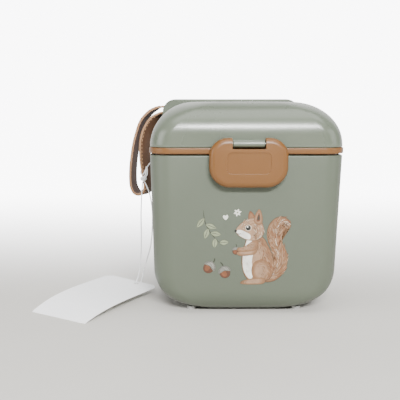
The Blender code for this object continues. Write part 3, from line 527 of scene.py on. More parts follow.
def make_knot():
    """Crossed turns of the same string pulled tight, with its two cut ends standing up."""
    shape = bmesh.new()
    for tilt, size in KNOT_TURNS:
        turn = Matrix.Rotation(tilt, 3, "X") @ Matrix.Rotation(0.6 * tilt, 3, "Z")
        wide, deep, high = KNOT_HALF
        path = []
        steps = 40
        for step in range(steps + 1):
            angle = math.tau * step / steps
            bend = (wide * math.cos(angle), deep * math.sin(angle), high * math.sin(angle * 2))
            path.append(KNOT + turn @ (Vector(bend) * size * MM))
        twisted(path, KNOT_STRAND, shape, pitch=KNOT_PITCH)
    for end in KNOT_ENDS:
        path = smooth_through([KNOT + Vector(point) * MM for point in end], 8)
        twisted(path, STRING_RADIUS, shape, pitch=KNOT_PITCH)
    made = piece("knot_tied", shape, STRING, 70)
    return belongs(made, "strap", "white_string", "string_knot")


def tag_place(distance, side, up=0.0):
    """A point of the card: distance from its holed end, side from its middle, up from its underside."""
    along = Vector((-math.sin(TAG_TURN), -math.cos(TAG_TURN), 0))
    across = Vector((math.cos(TAG_TURN), -math.sin(TAG_TURN), 0))
    share = min(distance / TAG_LENGTH, 1)
    rise = (TAG_RISE[0] - TAG_RISE[1] * side / TAG_HALF) * (1 - share**TAG_BEND)
    start = Vector((*TAG_END, STAND_Z + TAG_LIFT))
    return start + along * distance + across * side + Vector((0, 0, rise + up))


def make_tag():
    stations = [0, TAG_CORNER / 2, TAG_CORNER]
    for number in range(1, TAG_STATIONS + 1):
        stations.append(TAG_CORNER + (TAG_LENGTH - TAG_CORNER) * number / TAG_STATIONS)
    rings = []
    for distance in stations:
        half = TAG_HALF - TAG_CORNER + min(distance, TAG_CORNER)
        sides = [half * (step / 10 - 1) for step in range(21)]
        under = [tag_place(distance, side) for side in sides]
        rings.append(under + [tag_place(distance, side, TAG_THICK) for side in reversed(sides)])
    made = piece("card", loft(rings), CARD)
    hole = tag_place(TAG_HOLE_INSET, TAG_HOLE_SIDE)
    tall = Vector((0, 0, 6 * MM))
    work(made, rod(hole - tall, hole + tall, TAG_HOLE_RADIUS), "DIFFERENCE")
    return belongs(frozen(made), "strap", "tag_card", "swing_tag")


knot = make_knot()
make_tag()
make_strings()

# ---------------------------------------------------------------- box and lid


def body_ring(z, wall=0.0, floor=0.0):
    taper = (LIP_Z - z) * DRAFT
    side, front = (drawn_in(max(z - floor, 0.0), fillet - wall) for fillet in BODY_FILLETS)
    half = (BODY_HALF.x - taper - wall - side, BODY_HALF.y - taper - wall - front)
    return ring(half, PLAN_CORNER - wall + CORNER_GROWTH * side, z)


def seam_ring(offset, z):
    return ring((BODY_HALF.x - offset, BODY_HALF.y - offset), PLAN_CORNER - offset, z)


def make_body():
    inner = [FLOOR + height for height in fillet_heights(BODY_FILLETS.x - WALL)]
    rings = [body_ring(z, WALL, FLOOR) for z in [*inner, LIP_Z - LIP_ROUND / 3]]
    rings.append(seam_ring(WALL - LIP_ROUND / 3, LIP_Z))
    for out, z in arc((0, 0), LIP_ROUND, 90, 0, 5):
        rings.append(seam_ring(LIP_ROUND - out, LIP_Z - LIP_ROUND + z))
    rings += [body_ring(z) for z in reversed(fillet_heights(BODY_FILLETS.x))]
    made = piece("box_shell", loft(rings), SAGE_BODY)
    belongs(made, "body", "sage_body", "body_shell")


def make_catch():
    """The step that the latch snaps over."""
    low_z = LATCH_PIN.z - CATCH_DROP
    wall_y = -BODY_HALF.y + (LIP_Z - low_z) * DRAFT
    root = wall_y + WALL / 2
    tip = LATCH_BACK + 0.6 * MM
    wedge = [(root, 0), (tip, 0), (tip, CATCH_TIP), (wall_y, CATCH_ROOT), (root, CATCH_ROOT)]
    shape = bar([(y, low_z + z) for y, z in wedge], -CATCH_HALF, CATCH_HALF)
    made = piece("box_catch", shape, SAGE_BODY)
    belongs(frozen(made, CATCH_EDGE), "body", "sage_body")


def make_hinge_barrels():
    """The two outer barrels of the lid's hinge, each on a web that grows out of the rear wall."""
    y, z = HINGE.y, HINGE.z
    front, back = y - BARREL_RADIUS, y + BARREL_RADIUS
    shoulder = LIP_Z - BARREL_SHOULDER
    foot = shoulder - BARREL_WEB
    root = BODY_HALF.y - WALL / 2
    web = [(root, shoulder), (root, foot), (BODY_HALF.y, foot)]
    web += [(back, z - BARREL_RADIUS / 2), (back, z), (front, z), (front, shoulder)]
    past = BARREL_ENDS[1] + 0.3 * MM
    for side, name in ((-1, "box_barrel_left"), (1, "box_barrel_right")):
        ends = [side * end for end in BARREL_ENDS]
        made = piece(name, rod(*[(x, y, z) for x in ends], BARREL_RADIUS), SAGE_BODY)
        work(made, bar(web, *ends), "UNION")
        work(made, rod((-past, y, z), (past, y, z), BARREL_BORE), "DIFFERENCE")
        belongs(frozen(made, BARREL_EDGE), "body", "sage_body")


def dome(wall, bottom):
    """Rings of the dome from its crown down, drawn in by the wall."""
    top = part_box("lid_shell")[1][2] - wall
    heights = [top - distance for distance in fillet_heights(LID_FILLETS.x - wall, 2 * STEPS)]
    rings = []
    kept = [height for height in heights if height > bottom + 0.3 * MM]
    for height in [*kept, bottom]:
        side, front = (drawn_in(top - height, fillet - wall) for fillet in LID_FILLETS)
        half = (BODY_HALF.x - wall - side, BODY_HALF.y - wall - front)
        corner = min(PLAN_CORNER - wall + CORNER_GROWTH * side, half[1])
        rings.append(ring(half, corner, height))
    return rings


def make_lid():
    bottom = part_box("lid_shell")[0][2]
    inset, rise = LID_CHAMFER
    outer = dome(0.0, bottom + rise)
    drop = Vector((0, 0, -rise))
    outer.append([point + drop for point in dome(inset, bottom + rise)[-1]])
    made = piece("domed_lid", loft(outer + dome(WALL, bottom)[::-1]), SAGE_LID)
    return belongs(made, "lid", "sage_lid", "lid_shell")


def along_latch_pin(half):
    return [(side * half, LATCH_PIN.y, LATCH_PIN.z) for side in (-1, 1)]


def make_knuckle():
    """The lid's knuckle between the latch's two ears."""
    reach = NOTCH_HALF - 0.3 * MM
    made = piece("lid_knuckle", rod(*along_latch_pin(reach), KNUCKLE_RADIUS), SAGE_LID)
    low = (-reach, LATCH_PIN.y, LATCH_PIN.z - KNUCKLE_RADIUS / 2)
    work(made, box(low, (reach, KNUCKLE_ROOT, LATCH_PIN.z + KNUCKLE_RADIUS)), "UNION")
    work(made, rod(*along_latch_pin(reach * 1.1), BORE), "DIFFERENCE")
    return belongs(frozen(made, BARREL_EDGE), "lid", "sage_lid")


def make_band():
    """The lid's inner ring: a plug, the rounded band that shows at the seam, and a plate across it."""
    round_it = 0.5 * MM
    ease = 0.3 * MM
    levels = [(PLUG_OUT, BAND_LOW), (PLUG_OUT, RING_LOW + ease), (PLUG_OUT + ease, RING_LOW)]
    levels += [(RING_IN, RING_LOW), (RING_IN, PLATE_LOW), (RING_SEAT, PLATE_HIGH)]
    levels += [(RING_SEAT, RING_TOP), (RING_TOP_IN, RING_TOP), (RING_TOP_IN, BAND_HIGH)]
    for out, up in arc((0, 0), round_it, 90, 0, 4):
        levels.append((round_it - BAND_PROUD - out, BAND_HIGH - round_it + up))
    for out, up in arc((0, 0), round_it, 0, -90, 4):
        levels.append((round_it - BAND_PROUD - out, BAND_LOW + round_it + up))
    shape = loft([seam_ring(offset, z) for offset, z in levels], closed=True)
    made = piece("ring_band", shape, TAN_PLASTIC)
    belongs(made, "lid", "tan_plastic", "lid_ring")
    levels = ((RING_IN + ease, PLATE_LOW), (RING_IN, PLATE_LOW + ease), (RING_IN, PLATE_HIGH))
    plate = piece("ring_plate", loft([seam_ring(offset, z) for offset, z in levels]), TAN_PLASTIC)
    belongs(plate, "lid", "tan_plastic")


def latch_outline(inset):
    """The flap's outline in x and z, drawn in by the inset, with slightly bulged sides."""
    half = LATCH_HALF - inset
    low = LATCH_PIN.z - LATCH_LOW + inset
    high = LATCH_PIN.z + LATCH_HIGH - inset
    upper, lower = (corner - inset for corner in LATCH_CORNERS)
    points = arc((half - upper, high - upper), upper, 0, 90, STEPS)
    points += arc((-half + upper, high - upper), upper, 90, 180, STEPS)
    points += arc((-half + lower, low + lower), lower, 180, 270, STEPS)
    points += arc((half - lower, low + lower), lower, 270, 360, STEPS)
    middle = (low + high) / 2
    bulged = []
    for x, z in points:
        share = 1 - ((z - middle) / (high - middle)) ** 2
        bulged.append((x + math.copysign(LATCH_BULGE * share, x), z))
    return bulged


def latch_levels():
    """Inset and y from the flap's back to its front: a small round, a flat edge and a full round."""
    edge = LATCH_THICK
    levels = [(inset * edge, LATCH_BACK - depth * edge) for inset, depth in LATCH_BACK_ROUND]
    flat = LATCH_BACK_ROUND[-1][1]
    steps = 12
    for step in range(1, steps + 1):
        angle = math.radians(90 * step / steps)
        inset = LATCH_FRONT_ROUND * edge * (1 - math.cos(angle))
        levels.append((inset, LATCH_BACK - flat * edge - (1 - flat) * edge * math.sin(angle)))
    return levels


def make_latch():
    """The flap with its two ears, a shallow panel on its face and a pocket behind for the catch."""
    edge = LATCH_THICK
    rings = [[Vector((x, y, z)) for x, z in latch_outline(inset)] for inset, y in latch_levels()]
    made = piece("latch_flap", loft(rings), TAN_PLASTIC)
    front = LATCH_BACK - edge
    notch_z = LATCH_PIN.z - NOTCH_DROP
    past = LATCH_BACK + edge
    notch = ((-NOTCH_HALF, front - edge, notch_z), (NOTCH_HALF, past, NOTCH_TOP))
    work(made, box(*notch), "DIFFERENCE")
    work(made, rod(*along_latch_pin(LATCH_BORE_HALF), BORE), "DIFFERENCE")
    pocket_low = (-POCKET_HALF, LATCH_BACK - POCKET_DEPTH, POCKET_LOW)
    pocket_high = (POCKET_HALF, past, notch_z - POCKET_DROP)
    work(made, box(pocket_low, pocket_high), "DIFFERENCE")
    panel_z = notch_z - PANEL_DROP - PANEL_HALF.y
    outline = [(x, z + panel_z) for x, z in rounded(*PANEL_HALF, PANEL_CORNER, 6)]
    work(made, prism(outline, front - edge, front + PANEL_DEPTH), "DIFFERENCE")
    belongs(frozen(made, LATCH_EDGE), "latch", "tan_plastic", "latch")


make_body()
make_catch()
make_hinge_barrels()
make_lid()
make_band()
make_knuckle()
make_latch()

# ---------------------------------------------------------------- strap

STRAP_ROUTE = (
    (-3.2, 2.0), (-6.0, 1.4), (-10.4, -1.2), (-14.4, -5.0), (-17.4, -9.6), (-20.0, -17.2),
    (-22.0, -25.0), (-23.3, -33.2), (-24.2, -41.0), (-24.5, -48.5), (-24.0, -55.5),
    (-21.8, -60.2), (-18.4, -61.4), (-15.2, -59.2), (-14.2, -54.6), (-15.2, -48.0),
    (-16.6, -40.0), (-17.2, -32.0), (-17.1, -24.0), (-15.6, -16.8), (-12.8, -10.6),
    (-9.0, -5.6), (-5.0, -2.9), (-3.0, -2.1),
)  # fmt: skip


def strap_line(steps):
    """The strap's middle line: half a turn round its pin, out along the top run and back."""
    points = [Vector((x, 0, z)) for x, z in arc((PIN.x, PIN.z), STRAP_PIN_TURN, -80, 80, 4)]
    points += [Vector((PIN.x + x * MM, 0, PIN.z + z * MM)) for x, z in STRAP_ROUTE]
    return smooth_through(points, steps, closed=True)


def eased(share):
    """A share clamped to 0 and 1, leaving and arriving gently."""
    share = min(max(share, 0.0), 1.0)
    return share * share * (3 - 2 * share)


def direction(twist):
    return Vector((math.sin(twist), math.cos(twist), 0))


def strap_frames(line):
    """Centre, width direction and outward direction all along the strap, the last one longer where the
    leather swells away from its pin. The return run is twisted further than the first."""
    frames = []
    for index, point in enumerate(line):
        forward = (line[(index + 1) % len(line)] - line[index - 1]).normalized()
        share = eased((PIN.x - point.x - STRAP_THICK) / STRAP_EASE)
        returning = eased((index / len(line) - RETURN_FROM) / RETURN_OVER)
        plain = direction(STRAP_TWIST * share)
        across = direction((STRAP_TWIST + (STRAP_RETURN_TWIST - STRAP_TWIST) * returning) * share)
        centre = point + Vector((0, PIN.y, 0)) + (across - plain) * STRAP_HALF
        out = across.cross(forward).normalized()
        frames.append((centre, across, out * (1 + STRAP_SWELL * share)))
    return frames


def make_strap():
    """A leather band with pale cut edges and darker faces: painted shade on the outer face, and on the
    lining inside the loop partly its own darker colour and partly painted shade.
    """
    frames = strap_frames(strap_line(10))
    outline = rounded(STRAP_HALF, STRAP_THICK / 2, STRAP_CORNER, 4)
    rings = [[centre + across * u + out * v for u, v in outline] for centre, across, out in frames]
    made = piece("strap_band", loft(rings, closed=True), LEATHER_PAINTED_SHADE)
    made.data.materials.append(LINING_AND_PAINTED_SHADE)
    made.data.materials.append(CUT_EDGE)
    # The outer face and the lining carry painted shade, and the edges keep the pale tan.
    flat = STRAP_THICK / 2 - 0.05 * MM
    sides = [0 if v > flat else 1 if v < -flat else 2 for u, v in outline]
    for face in made.data.polygons:
        found = {sides[vertex % len(outline)] for vertex in face.vertices}
        face.material_index = found.pop() if len(found) == 1 else 2
    return belongs(made, "strap", "strap_leather", "wrist_strap")


def stitch_tree(length, thickness, material):
    """Geometry Nodes that lay one stitch at every step along a curve."""
    tree = bpy.data.node_groups.new("stitches", "GeometryNodeTree")
    tree.interface.new_socket("Path", in_out="INPUT", socket_type="NodeSocketGeometry")
    step = tree.interface.new_socket("Step", in_out="INPUT", socket_type="NodeSocketFloat")
    tree.interface.new_socket("Sewn", in_out="OUTPUT", socket_type="NodeSocketGeometry")
    given = tree.nodes.new("NodeGroupInput")
    points = node(tree, "GeometryNodeCurveToPoints", mode="LENGTH")
    one = node(tree, "GeometryNodeMeshUVSphere", {"Segments": 8, "Rings": 6, "Radius": 1.0})
    shaped = node(tree, "GeometryNodeTransform", {"Scale": (thickness, thickness, length)})
    laid = tree.nodes.new("GeometryNodeInstanceOnPoints")
    real = tree.nodes.new("GeometryNodeRealizeInstances")
    dyed = node(tree, "GeometryNodeSetMaterial", {"Material": material})
    out = tree.nodes.new("NodeGroupOutput")
    for source, target in (
        (given.outputs["Path"], points.inputs["Curve"]),
        (given.outputs["Step"], points.inputs["Length"]),
        (one.outputs["Mesh"], shaped.inputs["Geometry"]),
        (points.outputs["Points"], laid.inputs["Points"]),
        (points.outputs["Rotation"], laid.inputs["Rotation"]),
        (shaped.outputs["Geometry"], laid.inputs["Instance"]),
        (laid.outputs["Instances"], real.inputs["Geometry"]),
        (real.outputs["Geometry"], dyed.inputs["Geometry"]),
        (dyed.outputs["Geometry"], out.inputs["Sewn"]),
    ):
        tree.links.new(source, target)
    return tree, step.identifier


def make_stitches():
    """A row of stitches along each edge of the strap's outer face."""
    tree, step = stitch_tree(STITCH_HALF, STITCH_THICK, THREAD)
    frames = strap_frames(strap_line(4))[16:-4]
    inset = STRAP_HALF - STITCH_INSET
    for side, name in ((-1, "stitches_front"), (1, "stitches_rear")):
        curve = bpy.data.curves.new(name, "CURVE")
        curve.dimensions = "3D"
        spline = curve.splines.new("POLY")
        spline.points.add(len(frames) - 1)
        for slot, (centre, across, out) in zip(spline.points, frames):
            slot.co = (*(centre + across * side * inset + out * STRAP_THICK / 2), 1)
        guide = placed(name + " guide", curve)
        layer = guide.modifiers.new("stitches", "NODES")
        layer.node_group = tree
        layer[step] = STITCH_PITCH
        graph = bpy.context.evaluated_depsgraph_get()
        mesh = bpy.data.meshes.new_from_object(guide.evaluated_get(graph))
        bpy.data.objects.remove(guide, do_unlink=True)
        mesh.shade_smooth()
        belongs(placed(name, mesh), "strap", "strap_leather")


make_strap()
make_stitches()

# ---------------------------------------------------------------- print on the front

FUR = (0.2, 0.0999, 0.0444)
FUR_PALE = (0.296, 0.181, 0.107)
FUR_RED = (0.163, 0.0555, 0.0207)
WHITE = (0.68, 0.67, 0.61)
CREAM = (0.5, 0.42, 0.33)
DARK = (0.012, 0.011, 0.01)
SHADE = (0.037, 0.0311, 0.0192)
LEAF = (0.141, 0.163, 0.0888)
LEAF_PALE = (0.222, 0.252, 0.155)
STEM = (0.0259, 0.0274, 0.0163)
NUT = (0.0814, 0.0296, 0.0133)
CAP_PALE = (0.252, 0.252, 0.222)
OUTLINE = (0.0518, 0.0266, 0.0133)
CAP = (0.118, 0.122, 0.0999)
BLOSSOM = (0.66, 0.68, 0.58)


class Print:
    """Flat patches of ink on the drafted front wall, each layer a hair above the last. Its places and
    widths are in millimetres."""

    def __init__(self):
        self.shape = bmesh.new()
        self.colour = self.shape.verts.layers.float_color.new("ink")
        self.layer = 0

    def point(self, x, z, colour):
        wall = -BODY_HALF.y + (LIP_Z - z * MM) * DRAFT
        y = wall - PRINT_LIFT - self.layer * LAYER_LIFT
        made = self.shape.verts.new((x * MM, y, z * MM))
        made[self.colour] = (*colour, 1)
        return made

    def patch(self, outline, heart, middle, rim, steps=6):
        """A patch that runs from its heart's colour through its middle's to its rim's."""
        self.layer += 1
        line = smooth_through([Vector(point) for point in outline], steps, closed=True)
        centre = sum(line, Vector((0, 0))) / len(line)
        hub = self.point(*centre, heart)
        rows = []
        for share, colour in ((0.5, heart), (0.82, middle), (0.95, middle), (1.0, rim)):
            rows.append([self.point(*(centre + (place - centre) * share), colour) for place in line])
        for index in range(len(line)):
            after = (index + 1) % len(line)
            self.shape.faces.new((hub, rows[0][index], rows[0][after]))
            for near, far in zip(rows, rows[1:]):
                self.shape.faces.new((near[index], far[index], far[after], near[after]))

    def disc(self, x, z, radius, heart, rim):
        circle = arc((0, 0), 1, 0, 360, 10)[:-1]
        self.patch([(x + px * radius, z + pz * radius) for px, pz in circle], heart, heart, rim, 3)

    def stroke(self, points, width, colour):
        """A line that swells in its middle and thins out at both ends."""
        line = smooth_through([Vector(point) for point in points], 5)
        sides = []
        for index, place in enumerate(line):
            ahead = line[min(index + 1, len(line) - 1)] - line[max(index - 1, 0)]
            normal = Vector((-ahead.y, ahead.x)).normalized()
            share = (index + 0.3) / (len(line) - 0.4)
            swell = width / 2 * (0.25 + 0.75 * math.sin(math.pi * share))
            sides.append([self.point(*(place + normal * side * swell), colour) for side in (-1, 1)])
        for before, after in zip(sides, sides[1:]):
            self.shape.faces.new((before[0], before[1], after[1], after[0]))

    def fur(self, spine, half_width, count, colours, length, width, seed):
        """Short strokes that follow a spine, fanned out towards its sides."""
        chance = random.Random(seed)
        line = smooth_through([Vector(point) for point in spine], 12)
        self.layer += 1
        for _ in range(count):
            share = chance.random()
            index = min(int(share * (len(line) - 2)), len(line) - 2)
            along = (line[index + 1] - line[index]).normalized()
            normal = Vector((-along.y, along.x))
            swell = math.sin(math.pi * (0.12 + 0.82 * share)) ** 0.6
            offset = chance.uniform(-1, 1)
            start = line[index] + normal * offset * half_width * swell
            lean = along + normal * offset * 0.35
            tip = start + lean.normalized() * length * chance.uniform(0.6, 1.1)
            middle = (start + tip) / 2 + normal * chance.uniform(-0.12, 0.12) * length
            self.stroke((start, middle, tip), width * chance.uniform(0.6, 1.2), chance.choice(colours))


def leaf_outline(x, z, to_x, to_z, width):
    """A leaf from its stalk to its tip."""
    start = Vector((x, z))
    along = Vector((to_x, to_z)) - start
    normal = Vector((-along.y, along.x)).normalized() * width / 2
    swells = ((0.2, 0.7), (0.5, 1.0), (0.8, 0.6))
    right = [start + along * share + normal * swell for share, swell in swells]
    left = [start + along * share - normal * swell for share, swell in reversed(swells)]
    return [start, *right, start + along, *left]


def draw_sprig(art):
    """A stem with leaves in turn to its left and right."""
    route = ((-27, 66), (-25.6, 58), (-21, 50), (-14, 43))
    stem = smooth_through([Vector(point) for point in route], 9)
    art.layer += 1
    art.stroke(stem[:: len(stem) // 7], 0.55, STEM)
    for number in range(6):
        index = (number + 2) * (len(stem) - 1) // 8
        along = (stem[index] - stem[index - 1]).normalized()
        side = Vector((-along.y, along.x)) * (1 if number % 2 else -1)
        tip = stem[index] + (along * 0.75 + side * 0.8) * (6.6 - 0.3 * number)
        outline = (*stem[index], *tip)
        art.patch(leaf_outline(*outline, 3.4), LEAF, LEAF, STEM)
        art.patch(leaf_outline(*outline, 2.8), LEAF_PALE, LEAF_PALE, LEAF)
        art.layer += 1
        art.stroke((stem[index], (stem[index] + tip) / 2 + side * 0.1, tip), 0.3, STEM)


def draw_blossoms(art):
    """A bud, and an open flower with six petals."""
    bud = (
        (-13.3, 60.0), (-14.8, 61.6), (-14.4, 62.9), (-13.1, 62.6),
        (-12.2, 63.3), (-11.6, 62.0), (-12.2, 60.7),
    )  # fmt: skip
    art.patch(bud, WHITE, BLOSSOM, BLOSSOM)
    x, z = -5.9, 64.6
    reach = 2.4
    for step in range(6):
        angle = math.radians(60 * step + 14)
        tip = (x + reach * math.cos(angle), z + reach * math.sin(angle))
        art.patch(leaf_outline(x, z, *tip, 1.3), WHITE, BLOSSOM, BLOSSOM, 3)
    art.disc(x, z, 0.55, LEAF_PALE, LEAF_PALE)


def draw_acorn(art, x, z, lean, size=1.0):
    """An acorn whose cup points in the lean direction, in degrees."""
    toward = Vector((math.cos(math.radians(lean)), math.sin(math.radians(lean)))) * size
    side = Vector((-toward.y, toward.x))
    middle = Vector((x, z))

    def spread(points):
        return [middle + toward * a + side * b for a, b in points]

    half = 3.4
    end = [(-0.6 - 3.6 * pz, half * px) for px, pz in arc((0, 0), 1, 0, 180, 8)]
    art.patch(spread([(1.0, half), *end, (1.0, -half)]), NUT, NUT, DARK)
    gleam = ((0.2, 2.0), (-1.6, 2.0), (-3.1, 0.9), (-2.6, -0.8), (0.2, -0.6))
    art.patch(spread(gleam), FUR_RED, FUR_RED, NUT)
    cup = ((-0.4, 4.0), (1.8, 3.7), (3.6, 1.9), (4.0, 0), (3.6, -1.9), (1.8, -3.7), (-0.4, -4.0), (0.5, 0))
    art.patch(spread(cup), CAP_PALE, CAP, STEM)
    art.layer += 1
    for row in range(4):
        for place in range(7 - row):
            a = 0.5 + row * 0.8
            b = (place - (6 - row) / 2) * 1.05
            art.stroke(spread(((a, b - 0.35), (a + 0.4, b), (a, b + 0.35))), 0.3 * size, SHADE)
    art.stroke(spread(((3.7, 0), (5.2, 0.3), (6.6, 1.1))), 0.8 * size, STEM)


def draw_squirrel(art):
    """A squirrel sitting upright in plain profile with an acorn in its paws."""
    tail = (
        (11.0, 21.0), (16.5, 20.6), (22.0, 24.4), (25.4, 31.0), (25.4, 38.6), (22.6, 45.0),
        (21.8, 50.4), (24.2, 54.6), (27.0, 55.2), (26.6, 59.0), (22.6, 62.2), (17.4, 61.2),
        (13.4, 56.4), (12.4, 50.2), (14.2, 43.8), (16.4, 38.0), (16.6, 32.4), (13.6, 27.6),
    )  # fmt: skip
    art.patch(tail, FUR, FUR, OUTLINE)
    spine = (
        (14.6, 23.0), (20.6, 29.0), (21.2, 37.6), (18.0, 46.0), (17.6, 53.0), (21.4, 58.4), (24.4, 57.4),
    )  # fmt: skip
    art.fur(spine, 4.0, 260, (FUR_PALE, FUR_PALE, FUR, FUR_RED), 3.2, 0.5, 3)
    art.fur(spine, 1.5, 60, (CREAM, FUR_PALE, FUR_PALE), 3.6, 0.4, 4)
    far_ear = ((1.6, 59.2), (0.8, 62.2), (1.8, 65.6), (4.2, 63.4), (5.2, 60.2))
    art.patch(far_ear, FUR, FUR_RED, OUTLINE)
    body = (
        (9.4, 49.6), (13.4, 44.0), (16.4, 37.0), (17.4, 29.6), (15.4, 23.0), (9.8, 20.4),
        (2.8, 20.6), (-1.2, 25.0), (-2.8, 31.4), (-2.8, 38.2), (-1.2, 44.6), (1.2, 49.4),
    )  # fmt: skip
    art.patch(body, FUR_PALE, FUR, OUTLINE)
    back = ((7.2, 48.4), (10.2, 42.0), (12.6, 35.0), (13.6, 27.6), (10.0, 22.6))
    art.fur(back, 3.4, 190, (FUR, FUR_PALE, FUR_RED), 2.6, 0.34, 5)
    belly = (
        (1.0, 48.2), (4.2, 45.4), (4.4, 39.8), (3.4, 33.2), (4.6, 27.4),
        (3.4, 22.4), (0.6, 23.8), (-1.9, 29.0), (-2.2, 37.0), (-0.8, 44.2),
    )  # fmt: skip
    art.patch(belly, WHITE, WHITE, CREAM)
    chest = ((1.4, 46.8), (0.8, 39.0), (0.6, 31.0), (2.2, 24.8))
    art.fur(chest, 1.6, 60, (WHITE, CREAM, WHITE), 2.0, 0.24, 6)
    haunch = (
        (5.4, 33.4), (10.4, 35.0), (14.4, 32.0), (15.4, 26.4),
        (12.4, 21.8), (6.8, 20.8), (3.8, 24.6), (3.4, 29.6),
    )  # fmt: skip
    art.patch(haunch, FUR_PALE, FUR, FUR_RED)
    thigh = ((6.6, 31.6), (10.8, 31.0), (12.4, 26.6), (9.4, 22.8))
    art.fur(thigh, 2.4, 80, (FUR, FUR_PALE, FUR_PALE), 2.2, 0.3, 7)
    foot = (
        (11.6, 22.8), (5.4, 23.0), (-0.4, 21.8), (-3.2, 20.6), (-3.0, 19.2), (3.6, 18.8), (11.0, 19.4),
    )  # fmt: skip
    art.patch(foot, FUR_PALE, FUR, OUTLINE)
    for toe in (-2.4, -1.1, 0.3):
        art.stroke(((toe, 20.9), (toe - 0.5, 20.2), (toe - 0.4, 19.4)), 0.3, OUTLINE)
    draw_acorn(art, -6.6, 40.6, 80, 0.62)
    arm = (
        (7.4, 46.0), (4.6, 47.2), (1.0, 44.8), (-2.6, 42.6), (-5.4, 42.4),
        (-6.0, 40.8), (-3.4, 39.8), (1.4, 40.0), (5.6, 41.2),
    )  # fmt: skip
    for drop in (2.6, 0.0):
        art.patch([(x, z - drop) for x, z in arm], FUR_PALE, FUR, OUTLINE)
    art.fur(((5.8, 44.4), (1.4, 42.6), (-3.6, 41.4)), 1.3, 60, (FUR, FUR_PALE), 1.7, 0.26, 8)
    head = (
        (-7.0, 53.2), (-5.6, 55.8), (-2.8, 58.6), (1.2, 60.8), (5.6, 60.8), (9.2, 58.2),
        (10.8, 53.8), (9.6, 49.6), (6.0, 47.2), (1.6, 47.0), (-2.4, 48.4), (-5.6, 50.6),
    )  # fmt: skip
    art.patch(head, FUR_PALE, FUR_PALE, OUTLINE)
    crown = ((-3.6, 55.4), (1.2, 58.2), (6.2, 56.8), (8.0, 52.2), (5.2, 48.8))
    art.fur(crown, 2.9, 170, (FUR, FUR_PALE, FUR, CREAM), 1.9, 0.3, 9)
    cheek = (
        (-6.7, 53.0), (-4.2, 53.8), (-1.0, 52.6), (2.2, 50.6), (2.0, 47.8), (-1.6, 48.4), (-5.2, 50.8),
    )  # fmt: skip
    art.patch(cheek, WHITE, WHITE, CREAM)
    near_ear = ((4.4, 58.8), (4.8, 62.6), (7.4, 66.8), (9.4, 62.8), (9.4, 58.2), (7.0, 56.8))
    art.patch(near_ear, FUR_PALE, FUR, OUTLINE)
    ear_hollow = ((5.9, 59.2), (6.2, 62.0), (7.4, 64.6), (8.2, 61.8), (7.9, 59.2))
    art.patch(ear_hollow, SHADE, FUR_RED, FUR)
    eye = (0.9, 55.0)
    art.disc(*eye, 2.0, CREAM, CREAM)
    art.disc(*eye, 1.6, DARK, DARK)
    art.disc(0.4, 55.6, 0.45, WHITE, WHITE)
    art.disc(-6.8, 53.1, 0.8, DARK, SHADE)
    art.layer += 1
    art.stroke(((-6.2, 51.6), (-4.8, 51.1), (-3.6, 51.5)), 0.4, OUTLINE)


def make_print():
    art = Print()
    draw_sprig(art)
    draw_blossoms(art)
    draw_acorn(art, -23.0, 30.0, 50)
    draw_acorn(art, -13.4, 27.0, 105)
    draw_squirrel(art)
    bmesh.ops.recalc_face_normals(art.shape, faces=art.shape.faces)
    mesh = bpy.data.meshes.new("woodland_print")
    for face in art.shape.faces:
        if face.normal.y > 0:
            face.normal_flip()
    art.shape.to_mesh(mesh)
    art.shape.free()
    mesh.materials.append(INK)
    belongs(placed("woodland_print", mesh), "body", "sage_body")


make_print()

# ---------------------------------------------------------------- pieces that keep the frame's own shape

LOOKS = {
    "rear_block": SAGE_LID,
    "scoop_clip": TAN_PLASTIC, "lid_seal": SILICONE, "leveller_bar": MILKY, "scoop": MILKY,
    "hinge_pin": STEEL, "latch_pin": STEEL, "strap_pin": STEEL, "block_screw_left": STEEL,
    "block_screw_right": STEEL, "foot_front_left": RUBBER, "foot_front_right": RUBBER,
    "foot_rear_left": RUBBER, "foot_rear_right": RUBBER,
}  # fmt: skip
for name, look in LOOKS.items():
    mesh = frame["nodes"][name].data
    mesh.materials.clear()
    mesh.materials.append(look)

# ---------------------------------------------------------------- floor and light

PAPER = (0.56, 0.543, 0.503)
FLOOR_FRONT = -2.5
FLOOR_BACK = 0.9
FLOOR_HALF = 4.0
SWEEP_RADIUS = 1.2
BACKDROP_HIGH = 3.5
GLOW_FROM = -0.02
GLOW_TO = 0.6
GLOW_FULL = 8.5
GLOW_COLOUR = (0.98, 0.98, 1.0, 1)
BACKDROP_SPILL = 0.15
AIR_FILL = 0.13
AIR_SEEN = 8.5


def make_studio():
    """A pale sweep: flat floor, then a curve up into the backdrop."""
    profile = [(FLOOR_FRONT, 0.0), (FLOOR_BACK, 0.0)]
    profile += arc((FLOOR_BACK, SWEEP_RADIUS), SWEEP_RADIUS, -90, 0, 24)[1:]
    profile.append((FLOOR_BACK + SWEEP_RADIUS, BACKDROP_HIGH))
    sweep = bmesh.new()
    rows = []
    for y, z in profile:
        rows.append([sweep.verts.new((x, y, STAND_Z + z)) for x in (-FLOOR_HALF, FLOOR_HALF)])
    for before, after in zip(rows, rows[1:]):
        sweep.faces.new((before[0], before[1], after[1], after[0]))
    for face in sweep.faces:
        face.smooth = True
    mesh = bpy.data.meshes.new("studio_sweep")
    sweep.to_mesh(mesh)
    sweep.free()
    paper = finish("studio paper", PAPER, 0.8, grain=300, mottle=9, bump=0.05, contrast=0.07)
    glow(paper)
    mesh.materials.append(paper)
    floor = placed("studio_sweep", mesh)


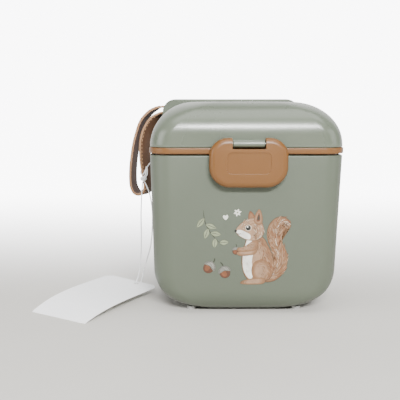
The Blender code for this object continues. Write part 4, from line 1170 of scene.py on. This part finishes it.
def glow(paper):
    """Painted light: the paper glows more and more strongly from the object towards the backdrop."""
    tree = paper.node_tree
    place = node(tree, "ShaderNodeTexCoord").outputs["Object"]
    depth = node(tree, "ShaderNodeSeparateXYZ", {0: place}).outputs["Y"]
    limits = {0: depth, 1: GLOW_FROM, 2: GLOW_TO, 4: GLOW_FULL}
    rise = node(tree, "ShaderNodeMapRange", limits, interpolation_type="SMOOTHSTEP")
    seen = tree.nodes.new("ShaderNodeLightPath").outputs["Is Camera Ray"]
    share = maths(tree, "ADD", maths(tree, "MULTIPLY", seen, 1 - BACKDROP_SPILL), BACKDROP_SPILL)
    shader = tree.nodes["Principled BSDF"]
    shader.inputs["Emission Color"].default_value = GLOW_COLOUR
    tree.links.new(maths(tree, "MULTIPLY", rise.outputs[0], share), shader.inputs["Emission Strength"])


def lamp(name, place, target, size, power):
    """A soft rectangular light turned towards its target."""
    light = bpy.data.lights.new(name, "AREA")
    light.shape = "RECTANGLE"
    light.size, light.size_y = size
    light.energy = power
    made = placed(name, light)
    made.location = place
    made.rotation_euler = (Vector(target) - Vector(place)).to_track_quat("-Z", "Y").to_euler()


def make_air():
    """Even white air that lights the object weakly and fills the view behind the sweep."""
    world = bpy.data.worlds.new("studio air")
    bpy.context.scene.world = world
    world.use_nodes = True
    tree = world.node_tree
    air = tree.nodes["Background"]
    air.inputs["Color"].default_value = (1.0, 1.0, 1.0, 1)
    seen = tree.nodes.new("ShaderNodeLightPath").outputs["Is Camera Ray"]
    strength = maths(tree, "ADD", maths(tree, "MULTIPLY", seen, AIR_SEEN - AIR_FILL), AIR_FILL)
    tree.links.new(strength, air.inputs["Strength"])


make_studio()
lamp("key", (0.14, -1.22, 0.78), (0, 0, 0.1), (0.66, 0.2), 42)
lamp("overhead", (0.1, -0.3, 1.4), (0, 0, 0), (1.7, 0.9), 18)
lamp("left", (-1.5, -0.7, 0.5), (0, 0, 0.07), (0.9, 0.9), 13)
lamp("right", (1.5, -0.7, 0.5), (0, 0, 0.07), (0.9, 0.9), 7)
make_air()
